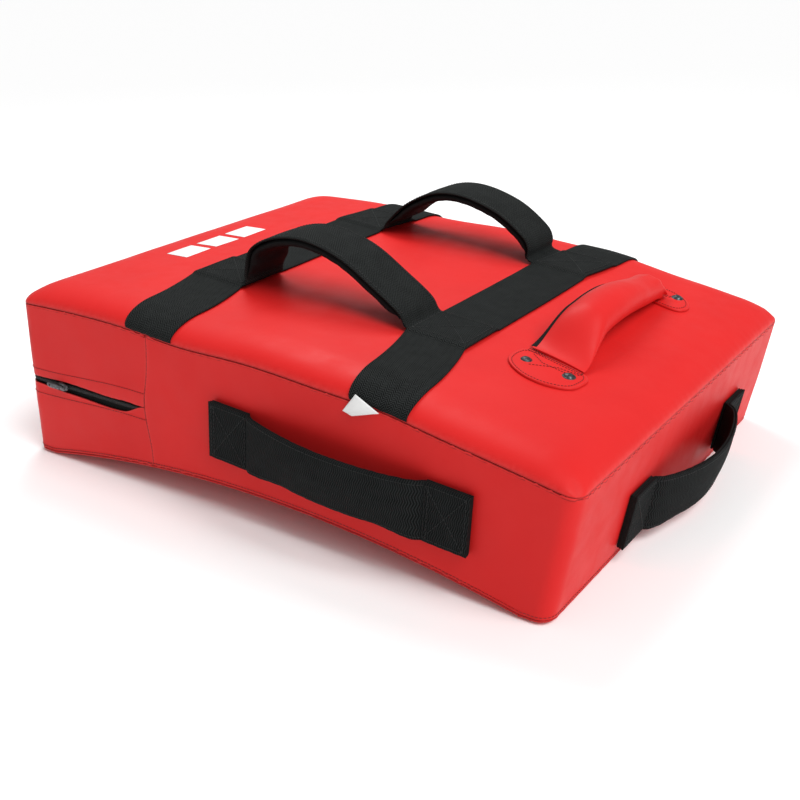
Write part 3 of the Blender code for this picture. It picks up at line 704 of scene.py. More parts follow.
# ---- bands and stitches -------------------------------------------------------------------------
def band(name, place, width, length, thickness, material, body, replaces=(), pitch=0.003,
         selvedge=0.0002):
    """A webbing band. place(across, along, height) maps the flat band to space."""
    half, edge = width / 2, thickness / 2
    turns = (math.pi / 4, math.pi / 2, 3 * math.pi / 4)
    spread = [mix(edge - half, half - edge, i / 16) for i in range(17)]
    profile = [(across, thickness + selvedge * bell(half - abs(across), 0.0022, 0.0010))
               for across in spread]
    profile += [(half - edge + edge * math.sin(a), edge + edge * math.cos(a)) for a in turns]
    profile += [(across, 0.0) for across in reversed(spread)]
    profile += [(edge - half - edge * math.sin(a), edge - edge * math.cos(a)) for a in turns]
    count = max(2, round(length / pitch))
    rows = [[place(across, length * i / count, height) for across, height in profile]
            for i in range(count + 1)]
    girth = cumulative([Vector(spot) for spot in profile + profile[:1]])
    shape = bmesh.new()
    verts = add_grid(shape, rows, caps=OPEN, uvs=lambda a, b: (girth[b], length * a / count))
    for row in (verts[0], verts[-1]):
        upper, lower = row[:17], row[20:37][::-1]
        for i in range(16):
            shape.faces.new((upper[i], upper[i + 1], lower[i + 1], lower[i]))
        shape.faces.new([upper[16]] + row[17:20] + [lower[16]])
        shape.faces.new([upper[0], lower[0]] + row[37:])
    return make_object(name, shape, material, body, replaces)


def path_place(path, normals, across):
    """place() for a band along a path of points with unit normals, and the path's length."""
    lengths = cumulative(path)

    def place(side, along, height):
        j, part = spot_at(lengths, along)
        normal = mix(normals[j], normals[j + 1], part).normalized()
        return mix(path[j], path[j + 1], part) + normal * height + across * side

    return place, lengths[-1]


def path_normals(path, across, outward):
    normals = []
    for i in range(len(path)):
        before, after = path[max(i - 1, 0)], path[min(i + 1, len(path) - 1)]
        normals.append((after - before).normalized().cross(across))
    if normals[len(path) // 2].dot(outward) < 0:
        normals = [-normal for normal in normals]
    return normals


def stitches(name, rows, material, body, pitch=0.0034, gap=0.0007, radius=0.00032):
    """Rows of thread; each row is a list of (point, normal) pairs along a sewn line."""
    shape = bmesh.new()
    for row in rows:
        points = [point for point, _normal in row]
        length = cumulative(points)[-1]
        count = max(1, round(length / pitch))
        dense = even(points, count * 4)
        normals = even(even(points, count * 4, [normal for _point, normal in row]), count * 4)
        for i in range(count):
            start, middle, end = dense[4 * i], dense[4 * i + 2], dense[4 * i + 4]
            normal = normals[4 * i + 2].normalized()
            along = (end - start).normalized()
            side = along.cross(normal).normalized()
            start, end = start + along * gap / 2, end - along * gap / 2
            loops = []
            for part, size in ((0.0, 0.30), (0.14, 0.80), (0.5, 1.0), (0.86, 0.80), (1.0, 0.30)):
                bend = 4 * part * (1 - part)
                centre = mix(start, end, part) + (middle - mix(start, end, 0.5)) * bend
                centre += normal * radius * (0.9 * bend - 0.2)
                loops.append([centre + (side * c + normal * s) * radius * size
                              for c, s in circle(6)])
            add_grid(shape, loops)
    return make_object(name, shape, material, body, flat_angle=80)


def placed_row(place, corners, height, steps=24):
    """A sewn line over a band through flat corners (across, along)."""
    row = []
    for (a0, s0), (a1, s1) in zip(corners, corners[1:]):
        for i in range(steps + 1):
            across, along = mix(a0, a1, i / steps), mix(s0, s1, i / steps)
            point = place(across, along, height)
            row.append((point, (place(across, along, height + 0.001) - point).normalized()))
    return row


def box_x(place, edge, along0, along1, height):
    """The rows of a box with a cross in it."""
    corners = [(-edge, along0), (edge, along0), (edge, along1), (-edge, along1)]
    pairs = ((0, 1), (1, 2), (2, 3), (3, 0), (0, 2), (1, 3))
    return [placed_row(place, [corners[i], corners[j]], height) for i, j in pairs]


# ---- cross straps -------------------------------------------------------------------------------
STRAP_LIFT = 0.0005
STRAP_TUCK = 0.004           # how far a strap's end goes into the seam
STRAP_DRIFT_NEAR = 0.017     # how far a strap's end bears towards the handle end at each seam
STRAP_DRIFT_FAR = 0.009
STRAP_DRIFT_START = 0.115
TAIL_LIFT = 0.0021           # how much a loop's tail raises the strap over it
LOOP_MIDDLES = [cad_centre(loop + "_webbing")[0].y for loop in ("near_loop", "far_loop")]
LOOP_HALF = 0.0265


def strap_drift(y):
    part = max(0.0, (abs(y) - STRAP_DRIFT_START) / (HALF_WIDTH - STRAP_DRIFT_START))
    return (STRAP_DRIFT_NEAR if y < 0 else STRAP_DRIFT_FAR) * part * (2 - part)


def tail_lift(y):
    """How far the strap stands off at y because a loop's tail lies under it."""
    nearest = min(abs(y - middle) for middle in LOOP_MIDDLES)
    return TAIL_LIFT * (1 - smooth(LOOP_HALF - 0.0005, LOOP_HALF + 0.0035, nearest))


def strap_place(centre, width):
    """place() for a strap from seam to seam over the crown; its ends go into the seams."""
    bend = [CROWN_RUN * (1 - math.cos(math.pi / 2 * i / 24)) - HALF_WIDTH for i in range(25)]
    inner = HALF_WIDTH - CROWN_RUN
    route = bend + [mix(-inner, inner, i / 150) for i in range(1, 150)] + [-y for y in bend[::-1]]
    lengths = cumulative([crown_edge(centre, y, math.copysign(1, y), 0) for y in route])
    total = lengths[-1]

    def place(across, along, height):
        along -= STRAP_TUCK
        inside = min(max(along, 0.0), total)
        j, part = spot_at(lengths, inside)
        y = mix(route[j], route[j + 1], part)
        facing = -1.0 if y < 0 else 1.0
        beyond = max(-along, along - total, 0.0)
        from_seam = min(inside, total - inside)
        pinch = math.exp(-from_seam / 0.0025)
        x = centre + strap_drift(y) + across * (1 - 0.10 * math.exp(-from_seam / 0.018))
        edge = 1 - smooth(0.0, 0.004, width / 2 - abs(across))
        point = crown_edge(x, y, facing, height + STRAP_LIFT + tail_lift(y) * (1 - 0.35 * edge))
        point.y -= facing * (pinch * (height + 0.0003) * 0.9 + beyond * 0.85)
        point.z += LIP * 1.1 * math.exp(-from_seam / 0.010) - beyond * 0.35
        point.z += 0.0006 * soft_noise(across, y, 0, 0.004, 5.0) * pinch
        return point

    return place, total + 2 * STRAP_TUCK


STRAPS = {}
for strap_node in ("cross_strap_left", "cross_strap_right"):
    strap_cloud = cad_points(strap_node)
    strap_cloud = strap_cloud[np.abs(strap_cloud[:, 1]) < STRAP_DRIFT_START + 0.001]
    strap_left, strap_right = strap_cloud[:, 0].min(), strap_cloud[:, 0].max()
    strap_centre, strap_width = float(strap_left + strap_right) / 2, float(strap_right - strap_left)
    over_crown, strap_length = strap_place(strap_centre, strap_width)
    STRAPS[strap_node] = (over_crown, strap_length, strap_width, strap_centre)
    band(strap_node + "_web", over_crown, strap_width, strap_length, WEB, CHEVRON, "pad",
         [strap_node], pitch=0.0020)


# ---- padded body loops --------------------------------------------------------------------------
LOOP_WIDTH = 0.053
TAIL_LENGTH = 0.030          # how far a loop's tail runs under the strap


def along_strap(strap, y):
    """The distance along a strap at which it passes y."""
    place, high, _width, _centre = STRAPS[strap]
    low = 0.0
    for _ in range(30):
        middle = (low + high) / 2
        if place(0.0, middle, 0.0).y < y:
            low = middle
        else:
            high = middle
    return (low + high) / 2


def build_loop(prefix, y, outline):
    """One padded loop: stitched webbing outside, foam in a lining sleeve inside."""
    path = spline([Vector((x, y, z)) for x, z in outline], 110)
    across = Vector((0, 1, 0))
    place, length = path_place(path, path_normals(path, across, UP), across)
    foot_z = max(path[0].z, path[-1].z)

    def settled(side, along, height):
        """The band cups a little across its width and sways along its length."""
        free = math.sin(math.pi * clamp((along - TAIL_LENGTH) / (length - 2 * TAIL_LENGTH)))
        cup = -0.0013 * (side / (LOOP_WIDTH / 2)) ** 2 * free
        return place(side, along, height + cup - WEB) + across * 0.0020 * free

    def hinged(piece, fill=None):
        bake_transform(piece)

    def padding(name, margin, thick, inner, material, slot, node):
        """Rounded padding hung below the webbing, thinning towards both feet."""
        count, around = 84, 36
        half = LOOP_WIDTH / 2 - margin
        first = TAIL_LENGTH + 0.0020 + inner * 5
        rows = []
        for i in range(count + 1):
            along = mix(first, length - first, i / count)
            ends = smooth(0.0, 0.016, along - first) * smooth(0.0, 0.016, length - first - along)
            depth = mix(0.30 * thick, thick, ends)
            dimple = 0.0004 * soft_noise(along, y, 0, 0.012, 4.0)
            row = []
            for k, (c, s) in enumerate(circle(around)):
                drop = depth / 2 * (power(s, 0.8) - 1)
                fold = 0.00035 * soft_noise(along, 2 * math.pi * k / around, y, 0.006, 2.0) * (s < 0.2)
                row.append(settled(half * power(c, 0.45), along, drop - inner + dimple + fold))
            rows.append(row)
        girth = 2 * half + thick
        return surface(prefix + name, rows, material, None, slot, [prefix + node],
                       uvs=lambda a, b: (girth * b / around, length * a / count))

    hinged(band(prefix + "_web", settled, LOOP_WIDTH, length, WEB, CHEVRON, None,
                [prefix + "_webbing"], pitch=0.0025))
    hinged(padding("_sleeve", 0.0012, 0.0088, 0.00015, LINING, "lining_fabric", "_lining"), 0.7)
    hinged(padding("_filling", 0.0036, 0.0060, 0.0014, SOFT_FOAM, "soft_foam", "_foam"), 0.8)
    edge, first = LOOP_WIDTH / 2 - 0.0030, TAIL_LENGTH + 0.002
    rows = [placed_row(settled, [(side, first), (side, length - first)], WEB + 0.0001, 120)
            for side in (-edge, edge)]
    hinged(stitches(prefix + "_stitches", rows, BLACK_THREAD, None))
    rows = []
    for strap, (over, _length, strap_width, _centre) in STRAPS.items():
        ends = [along_strap(strap, y + side) for side in (-edge, edge)]
        rows += box_x(over, strap_width / 2 - 0.0035, ends[0], ends[1], WEB + 0.0001)
    stitches(prefix + "_box_stitches", rows, BLACK_THREAD, "pad", radius=0.00028)


def tails(y, left_x, right_x):
    """Outline points for a loop's two tails, lying on the leather under the straps."""
    flat = STRAP_LIFT + TAIL_LIFT - 0.0001
    sides = []
    for strap, way, foot in (("cross_strap_left", 1, left_x), ("cross_strap_right", -1, right_x)):
        edge = STRAPS[strap][3] + way * STRAPS[strap][2] / 2 + strap_drift(y)
        xs = [edge - way * inward for inward in (0.024, 0.015, 0.006)]
        points = [(x, rear_height(x, y) + flat) for x in xs]
        sides.append(points + [(foot, rear_height(foot, y) + flat + 0.0030)])
    return sides[0], sides[1][::-1]


# Each loop's own slump: where its feet leave the straps, its arch as parts of its span and rise,
# and the last point before its right foot.
LOOP_SHAPES = {
    "near_loop": (0.0005, 0.0015, (-0.006, 0.0160), [(0.002, 0.26), (0.041, 0.675), (0.200, 0.930),
                                                     (0.398, 0.988), (0.620, 0.815), (0.818, 0.470)]),
    "far_loop": (0.0010, -0.0010, (-0.0004, 0.0150), [(0.028, 0.24), (0.158, 0.650), (0.345, 0.955),
                                                      (0.544, 0.998), (0.778, 0.780), (0.953, 0.400)])}
for loop_name, (left_foot, right_foot, before_foot, arch_parts) in LOOP_SHAPES.items():
    loop_low, loop_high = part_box(loop_name + "_webbing")
    loop_y = (loop_low.y + loop_high.y) / 2
    base_left, base_right = rear_height(loop_low.x, loop_y), rear_height(loop_high.x, loop_y)
    left_tail, right_tail = tails(loop_y, loop_low.x + left_foot, loop_high.x + right_foot)
    loop_line = [(mix(loop_low.x, loop_high.x, a), mix(base_left, loop_high.z, b))
                 for a, b in arch_parts]
    loop_line.append((loop_high.x + before_foot[0], base_right + before_foot[1]))
    build_loop(loop_name, loop_y, left_tail + loop_line + right_tail)


# ---- webbing handles on the walls ---------------------------------------------------------------
HALF_PATCH = 0.020           # half the length of a sewn patch
PATCH_LIFT = 0.0022          # how far the webbing stands off the wall over a patch


def wall_handle(prefix, outward, cupped=1.0):
    """One webbing handle: doubled webbing that leaves two box-stitched patches in a bow."""
    patch_a, half_a = cad_centre(prefix + "_patch_a")
    patch_b, _half_b = cad_centre(prefix + "_patch_b")
    along = (patch_b - patch_a).normalized()
    across = outward.cross(along).normalized()
    wall_mid = mix(patch_a, patch_b, 0.5)
    bow = max((Vector(p) - wall_mid).dot(outward) for p in cad_points(prefix + "_webbing"))
    start = patch_a - along * HALF_PATCH
    span = (patch_b - patch_a).length + 2 * HALF_PATCH
    flat = 2 * HALF_PATCH
    path = []
    steps = 160
    for i in range(steps + 1):
        s = span * i / steps
        part = (s - flat) / (span - 2 * flat)
        out = PATCH_LIFT
        if 0 < part < 1:
            rise = math.sin(math.pi * part) ** (0.75 if part < 0.5 else 0.55)
            valley = bell(part, 0.0, 0.016) + bell(part, 1.0, 0.030)
            out = 0.0004 + (bow - 0.0004) * rise + PATCH_LIFT * (1 - rise) * max(1 - valley, 0.0)
        path.append(start + along * s + outward * out)
    path = even(path, steps)
    softened = [(a + b * 2 + c) / 4 for a, b, c in zip(path, path[1:], path[2:])]
    path = [path[0]] + softened + [path[-1]]
    place, length = path_place(path, path_normals(path, across, outward), across)
    width = min(2 * half_a.dot(Vector([abs(c) for c in across])), 0.051)
    up_side = 1.0 if across.z >= 0 else -1.0

    def hung(side, s, height):
        """The free stretch cups and its lower edge turns towards the wall."""
        free = cupped * smooth(flat, flat + 0.05, s) * smooth(flat, flat + 0.05, length - s)
        part = side / (width / 2)
        lower = (1 - part * up_side) / 2
        curl = free * (0.0022 * part * part + 0.0058 * lower * lower)
        rise = (0.0008 + 0.0060 * bell(s / length, 0.84, 0.10)) * free * lower
        frayed = 0.0005 * soft_noise(s, side, 0, 0.005, 6.2) * smooth(0.85, 1.0, abs(part))
        return place(side * (1 - 0.06 * free), s, height) + UP * (rise + frayed) - outward * curl

    low, high = wall_mid + outward * 0.0030, wall_mid + outward * max(bow, 0.016)

    def hinged(piece):
        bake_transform(piece)
        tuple(low)
        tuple(high)

    hinged(band(prefix + "_web", lambda a, s, h: hung(a, s, h + WEB + 0.0002), width, length, WEB,
                RIBBED, None, [prefix + "_webbing"], pitch=0.0022))
    hinged(band(prefix + "_backing", hung, width - 0.0008, length, WEB, RIBBED, None,
                [prefix + "_lining"], pitch=0.0022))
    for tag, first in (("_patch_a", 0.0), ("_patch_b", span - flat)):
        def flat_place(side, s, height, first=first):
            return start + along * (first + 0.0006 + s) + across * side + outward * height

        band(prefix + tag + "_web", flat_place, width - 0.0010, flat - 0.0012, 0.0022, RIBBED, "pad",
             [prefix + tag], pitch=0.004)
    top = 2 * WEB + 0.0003
    edge = width / 2 - 0.0030
    rows = []
    for s0, s1 in ((0.0030, flat - 0.002), (length - flat + 0.002, length - 0.0030)):
        rows += box_x(hung, edge, s0, s1, top)
        rows.append(placed_row(hung, [(-edge, s0 + 0.0028), (edge, s0 + 0.0028)], top))
    rows += [placed_row(hung, [(side, flat), (side, length - flat)], top, 90)
             for side in (-edge, edge)]
    hinged(stitches(prefix + "_stitches", rows, BLACK_THREAD, None))


END_LOW, END_HIGH = wall_ends(HALF_LENGTH, 0.0)
END_SLOPE = (END_HIGH - END_LOW).normalized()
wall_handle("side_handle_near", Vector((0, -1, 0)))
wall_handle("side_handle_far", Vector((0, 1, 0)))
wall_handle("end_handle", Vector((END_SLOPE.z, 0, -END_SLOPE.x)), cupped=0.6)


# ---- grab handle --------------------------------------------------------------------------------
ROLL_X = cad_centre("grab_cover")[0].x
ROLL_NEAR, ROLL_FAR = [corner.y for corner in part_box("grab_cover")]
ROLL_HALF_WIDTH = 0.0205
ROLL_HALF_HEIGHT = 0.0155
ROLL_GAP = 0.0075            # room for the fingers under its middle
NECK = 0.945                 # where the gathered far end begins
SLIT_LENGTH = 0.125
SLIT_END = 0.62              # the part of the roll at which its piping tapers out


def roll_section(part):
    """Rise of the centre, half width, half height and gathering of the roll at a station."""
    near = smooth(0.0, 0.27, part) ** 0.85
    neck = smooth(NECK - 0.050, NECK + 0.025, part)
    round_off = 1 - 0.20 * smooth(0.40, NECK, part)
    half_width = mix(mix(0.0255, ROLL_HALF_WIDTH, smooth(0.0, 0.30, part)) * round_off, 0.0105, neck)
    half_height = mix(mix(0.0011, ROLL_HALF_HEIGHT, near) * round_off, 0.0046, neck)
    gap = ROLL_GAP * math.sin(math.pi * smooth(0.02, 0.98, part)) ** 0.8
    gap *= 1 - 0.35 * smooth(0.30, NECK, part)
    return half_height * 0.96 + 0.0014 + gap, half_width, half_height, neck


def roll_point(part, angle, shrink=0.0):
    """A point of the roll; angle 0 is +X and a quarter turn is up."""
    rise, half_width, half_height, neck = roll_section(part)
    c, s = math.cos(angle), math.sin(angle)
    y = mix(ROLL_NEAR - 0.0030, ROLL_FAR + 0.0040, part)
    y += (0.0030 - 0.0040 * c) * (1 - smooth(0.0, 0.20, part))
    folds = 0.16 * math.sin(angle * 7 + 1.0) + 0.07 * math.sin(angle * 12 + part * 40)
    pull = smooth(0.80, NECK, part) * (1 - neck)
    gather = 1 + neck * folds + 0.030 * pull * math.sin(angle * 9 + 0.6)
    pointed = mix(1.45, 0.96, smooth(0.0, 0.20, part))
    side = (half_width - shrink) * c * gather
    tall = (half_height - min(shrink, half_height * 0.6)) * power(s, pointed)
    ripple = 0.0004 * soft_noise(c * 0.02, y, s * 0.02, 0.026, 6.0) * smooth(0, 0.2, part)
    x = ROLL_X + side * (1 + ripple / 0.02) + 0.0030 * neck
    z = rear_height(ROLL_X, y) + rise + tall * gather
    z += (rear_height(x, y) - rear_height(ROLL_X, y)) * (1 - smooth(0.0, 0.35, part))
    return Vector((x, y, z + ripple))


def roll_slit(side, along, height):
    """Black piping along the roll's left edge, tapering out where the roll lifts off."""
    part = mix(0.012, SLIT_END, along / SLIT_LENGTH)
    taper = 1 - smooth(0.72, 1.0, along / SLIT_LENGTH)
    angle = math.pi - mix(0.16, 0.66, smooth(0.0, 0.30, part))
    point = roll_point(part, angle)
    outward = (point - roll_point(part, angle, 0.003)).normalized()
    around = (roll_point(part, angle - 0.06) - roll_point(part, angle + 0.06)).normalized()
    bulge = 0.0004 * math.cos(math.pi * side / 0.0052)
    return point + outward * (height - 0.0012 + bulge) + around * side * taper


def build_roll():
    """The stuffed cover, its filling and the piping."""
    low = Vector((ROLL_X, ROLL_NEAR, rear_height(ROLL_X, ROLL_NEAR) + 0.004))

    def tube(name, first, last, steps, around, shrink, material, slot, node):
        rows = [[roll_point(mix(first, last, i / steps), 2 * math.pi * k / around, shrink)
                 for k in range(around)] for i in range(steps + 1)]
        centres = [sum(rows[end], Vector()) / around for end in (0, -1)]
        rows = [[centres[0]] * around] + rows + [[centres[1]] * around]
        piece = surface(name, rows, material, None, slot, [node], merge=0.000001, caps=OPEN)
        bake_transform(piece)

    tube("grab_roll_cover", 0.0, 1.0, 96, 72, 0.0, RED, "red_leather", "grab_cover")
    tube("grab_roll_filling", 0.05, 0.95, 40, 36, 0.0016, SOFT_FOAM, "soft_foam", "grab_core")
    strip = band("grab_roll_piping", roll_slit, 0.0044, SLIT_LENGTH, 0.0020, LINING, None,
                 pitch=0.0025, selvedge=0.0)
    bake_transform(strip)


build_roll()


# ---- sewn tabs, rivets --------------------------------------------------------------------------
TAB_LIFT = 0.0004
TAB_THICKNESS = 0.0018
# Each tab's outline as (across, out) from its root, seen from above.
NEAR_TAB = [(-0.029, -0.002), (0.027, 0.004), (0.034, 0.013), (0.032, 0.032), (0.026, 0.040),
            (0.010, 0.0465), (-0.008, 0.0455), (-0.022, 0.038), (-0.031, 0.028), (-0.033, 0.014)]
FAR_TAB = [(-0.018, -0.004), (0.010, -0.015), (0.031, -0.016), (0.037, -0.002), (0.031, 0.012),
           (0.019, 0.022), (-0.004, 0.026), (-0.020, 0.023), (-0.029, 0.013), (-0.027, 0.002)]


def round_outline(corners):
    """Cut each corner of an outline twice so that it reads as a curve."""
    for _ in range(2):
        out = []
        for a, b in zip(corners, corners[1:] + corners[:1]):
            out += [tuple(mix(p, q, part) for p, q in zip(a, b)) for part in (0.22, 0.78)]
        corners = out
    return corners


def build_tab(tag, root, way, corners, half, crosses=()):
    """A leather tab with its stitch rows; half is the width of the rows at its root."""
    outline = round_outline(corners)
    centre_x, centre_o = [sum(values) / len(outline) for values in zip(*outline)]

    def over(x, out, height):
        y = root + way * out
        return Vector((ROLL_X + x, y, rear_height(ROLL_X + x, y) + TAB_LIFT + height))

    def scaled(scale):
        return [(mix(centre_x, x, scale), mix(centre_o, o, scale)) for x, o in outline]

    def sewn(line):
        row = []
        for (x0, o0), (x1, o1) in zip(line, line[1:]):
            row += [(over(mix(x0, x1, i / 12), mix(o0, o1, i / 12), TAB_THICKNESS + 0.0001), UP)
                    for i in range(13)]
        return row

    rings = [(1.0, 0.0), (1.0, 0.55), (0.985, 0.93), (0.955, 1.0), (0.75, 1.0), (0.5, 1.0),
             (0.25, 1.0)]
    rows = [[over(x, o, TAB_THICKNESS * part) for x, o in scaled(scale)] for scale, part in rings]
    # The tab's rounded edge gets paler wear and a line of painted shade.
    rims = [[0.8 if scale == 0.985 else 0.0] * len(outline) for scale, _part in rings]
    surface("grab_tab_%s_leather" % tag, rows, RED, "pad", "red_leather", ["grab_tab_" + tag],
            rims=rims)
    lines = [[(-half, -0.0005), (half, 0.0075)], [(-half, 0.0022), (half, 0.0102)]]
    lines += list(crosses) + [scaled(0.90) + scaled(0.90)[:1]]
    stitches("grab_tab_%s_stitches" % tag, [sewn(line) for line in lines], RED_THREAD, "pad",
             pitch=0.0028)


def dome(name, node):
    """A domed rivet cap with a rolled rim, on the place of its CAD node."""
    radius, height = 0.0049, 0.0030
    centre = cad_centre(node)[0]
    centre.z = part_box(node)[0].z
    profile = [(1.10, 0.00), (1.16, 0.10), (1.12, 0.22), (1.02, 0.26), (0.97, 0.24), (0.92, 0.34),
               (0.80, 0.55), (0.62, 0.74), (0.42, 0.88), (0.20, 0.96), (0.0, 1.0)]
    slope = -2 * SEAM_CURVE[0] * centre.x - SEAM_CURVE[1]
    tilt = UP.rotation_difference(Vector((slope, 0, 1)).normalized())
    rows = [[centre + tilt @ Vector((radius * r * c, radius * r * s, height * z))
             for c, s in circle(40)] for r, z in profile]
    surface(name, rows, GUNMETAL, "pad", "rivet_metal", [node], flat_angle=70, merge=0.000001,
            caps=(True, False))


build_tab("near", ROLL_NEAR, -1.0, NEAR_TAB, 0.0265,
          [[(-0.01908, 0.0055), (-0.0060, 0.0150), (0.0159, 0.0165)],
           [(0.025175, 0.0115), (0.0060, 0.0130), (-0.01325, 0.0260)]])
build_tab("far", ROLL_FAR, 1.0, FAR_TAB, 0.015)
CORNER_TAGS = [end + "_" + side for end in ("near", "far") for side in ("left", "right")]
for corner_tag in CORNER_TAGS:
    dome("rivet_%s_cap" % corner_tag, "rivet_" + corner_tag)


# ---- zip ----------------------------------------------------------------------------------------
def build_zip():
    """Two tapes and the coil's teeth, behind the wall."""
    path, normals = [], [way for _x, _y, way in ZIP_STATIONS]
    for x, y, way in ZIP_STATIONS:
        low, high = wall_ends(x, y)
        path.append(mix(low, high, (ZIP_HEIGHT - low.z) / (high.z - low.z)) - way * 0.0030)
    place, length = path_place(path, normals, UP)
    for label, sign in (("upper", 1), ("lower", -1)):
        band("zip_tape_%s_weave" % label, lambda a, s, h, g=sign: place(a + g * 0.0058, s, h),
             0.0098, length, 0.0007, ZIP_TAPE, "pad", ["zip_tape_" + label],
             pitch=0.004, selvedge=0.0)
    place, length = path_place([p + n * 0.0010 for p, n in zip(path, normals)], normals, UP)
    shape = bmesh.new()
    pitch, wire = 0.0016, 0.00034
    tooth = ((0.0021, 0.0002), (0.0018, 0.0011), (0.0, 0.0014), (-0.0007, 0.0008), (-0.0009, 0.0001))
    for i in range(int(length / pitch)):
        for sign in (-1, 1):
            s = (i + 0.5 + sign * 0.25) * pitch
            add_grid(shape, [[place(sign * across, s + wire * c, height + wire * z)
                              for c, z in circle(5)] for across, height in tooth])
    make_object("zip_coil_teeth", shape, ZIP_COIL, "pad", ["zip_coil"], flat_angle=80)


def build_topstitches():
    """Thread round the strike seam, beside the zip's lips and down the zip's end seams."""
    def on_wall(x, y, way, z):
        return wall_at(x, y, way, z) + way * 0.00015, way

    row = [on_wall(x, y, way, seam_low(x, y) + 0.0028) for x, y, way in plan_outline(0.0060)]
    rows = [row + [row[0]]]
    for first, last in ((0.0170, 0.0105), (-0.0082, -0.0135)):
        rows.append([on_wall(x, y, way, ZIP_HEIGHT
                             + mix(first, last, smooth(0.02, 0.15, zip_distance(x, y))))
                     for x, y, way in ZIP_STATIONS])
    for x, y, way in (ZIP_STATIONS[0], ZIP_STATIONS[-1]):
        low, high = seam_low(x, y) + 0.004, seam_high(x, y) - 0.004
        rows.append([(wall_at(x + 0.0006, y, way, mix(low, high, i / 40)) - way * 0.0003, way)
                     for i in range(41)])
    stitches("zip_topstitches", rows, RED_THREAD, "pad", pitch=0.0032)


def build_slider():
    """Die-cast slider with a bridge over its back."""
    middle, half = cad_centre("zip_slider")
    outline = [(-1.0, 0.80), (-0.55, 1.0), (0.1, 0.86), (0.75, 0.62), (1.0, 0.30),
               (1.0, -0.30), (0.75, -0.62), (0.1, -0.86), (-0.55, -1.0), (-1.0, -0.80),
               (-0.80, -0.25), (-0.80, 0.25)]
    layers = ((1.0, 0.94), (0.7, 1.0), (-0.3, 1.0), (-0.75, 0.93), (-1.0, 0.80))
    shape = bmesh.new()
    add_grid(shape, [[middle + Vector((half.x * a * scale, half.y * depth, half.z * b * scale))
                      for a, b in outline] for depth, scale in layers])
    bridge = []
    for i in range(9):
        turn_c, turn_s = math.cos(math.pi * i / 8), math.sin(math.pi * i / 8)
        centre = middle + Vector((-half.x * 0.62 * turn_c, 0.0002 - half.y - 0.0017 * turn_s, 0))
        bridge.append([centre + Vector((0.00045 * c * turn_s, 0.00045 * c * turn_c, 0.0011 * s))
                       for c, s in circle(8)])
    add_grid(shape, bridge)
    make_object("zip_slider_body", shape, ZIP_METAL, "zip_slider", ["zip_slider"],
                flat_angle=35)


def build_pull():
    """The pull tab, wider at its free end, lying back along the zip, with a hole."""
    middle, half = cad_centre("zip_pull")

    def ring(depth, grow, hole=False):
        points = []
        for c, s in circle(40):
            x = (half.x + grow) * power(c, 0.75)
            z = (half.z * 0.86 + grow) * power(s, 0.55) * (1 - 0.14 * c)
            if hole:
                x, z = 0.0009 * c - half.x * 0.62, 0.0009 * s
            points.append(middle + Vector((x, half.y * depth, z)))
        return points

    rings = [ring(0.0, 0.0), ring(-0.8, -0.00025), ring(-1.0, -0.00045), ring(-1.0, 0.0, hole=True),
             ring(1.0, 0.0, hole=True), ring(1.0, -0.00045), ring(0.8, -0.00025)]
    surface("zip_pull_tab", rings, ZIP_METAL, "zip_pull", "zip_metal", ["zip_pull"], flat_angle=35,
            wrap_rows=True, caps=OPEN)


build_zip()
build_topstitches()
build_slider()
build_pull()


# ---- care label, printed blocks -----------------------------------------------------------------
def build_label():
    """A folded label caught in the near seam, with faint grey lines on it."""
    low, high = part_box("care_label")

    def beside(part_x, from_seam, out):
        """A point beside the wall, or beside the rolled crown when it is above the seam."""
        x = mix(low.x, high.x, part_x)
        inset = CROWN_RUN * (1 - math.sqrt(1 - clamp(from_seam / CROWN_HEIGHT) ** 2))
        return Vector((x, inset * 0.8 - HALF_WIDTH - out, seam_z(x) + from_seam))

    top, right = beside(0.34, 0.0078, 0.0052), beside(0.96, 0.0004, 0.0034)
    left, bottom = beside(0.02, -0.0085, 0.0026), beside(0.26, -0.0102, 0.0028)

    def cloth(a, b, out=0.0):
        point = mix(mix(top, right, a), mix(left, bottom, a), b)
        point.y -= 0.0012 * math.sin(math.pi * a) * math.sin(math.pi * b) + out
        return point

    piece = surface("care_label_cloth", grid(12, cloth), LABEL, "pad", "label_cloth",
                    ["care_label"], recalc=False, wrap_columns=False, caps=OPEN)
    thicken(piece, 0.0003)
    shape = bmesh.new()
    for line in range(6):
        b = 0.34 + line * 0.075
        for first, last in ((0.30, 0.52), (0.55, 0.66)):
            corners = ((first, b), (last, b), (last, b + 0.016), (first, b + 0.016))
            add_grid(shape, [[cloth(*corner, out) for corner in corners]
                             for out in (0.00025, 0.00015)])
    make_object("care_label_lines", shape, LABEL_INK, "pad")


def build_mark(node):
    """A plain printed block that follows the leather."""
    low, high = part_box(node)

    def printed(a, b):
        x, y = mix(low.x, high.x, a), mix(low.y, high.y, b)
        return Vector((x, y, rear_height(x, y) + 0.00035))

    piece = surface(node + "_print", grid(14, printed), PRINT, "pad", "mark_print", [node],
                    wrap_columns=False, caps=OPEN)
    thicken(piece, 0.0002)


build_label()
for mark_node in ("mark_bar_near", "mark_square", "mark_bar_far"):
    build_mark(mark_node)


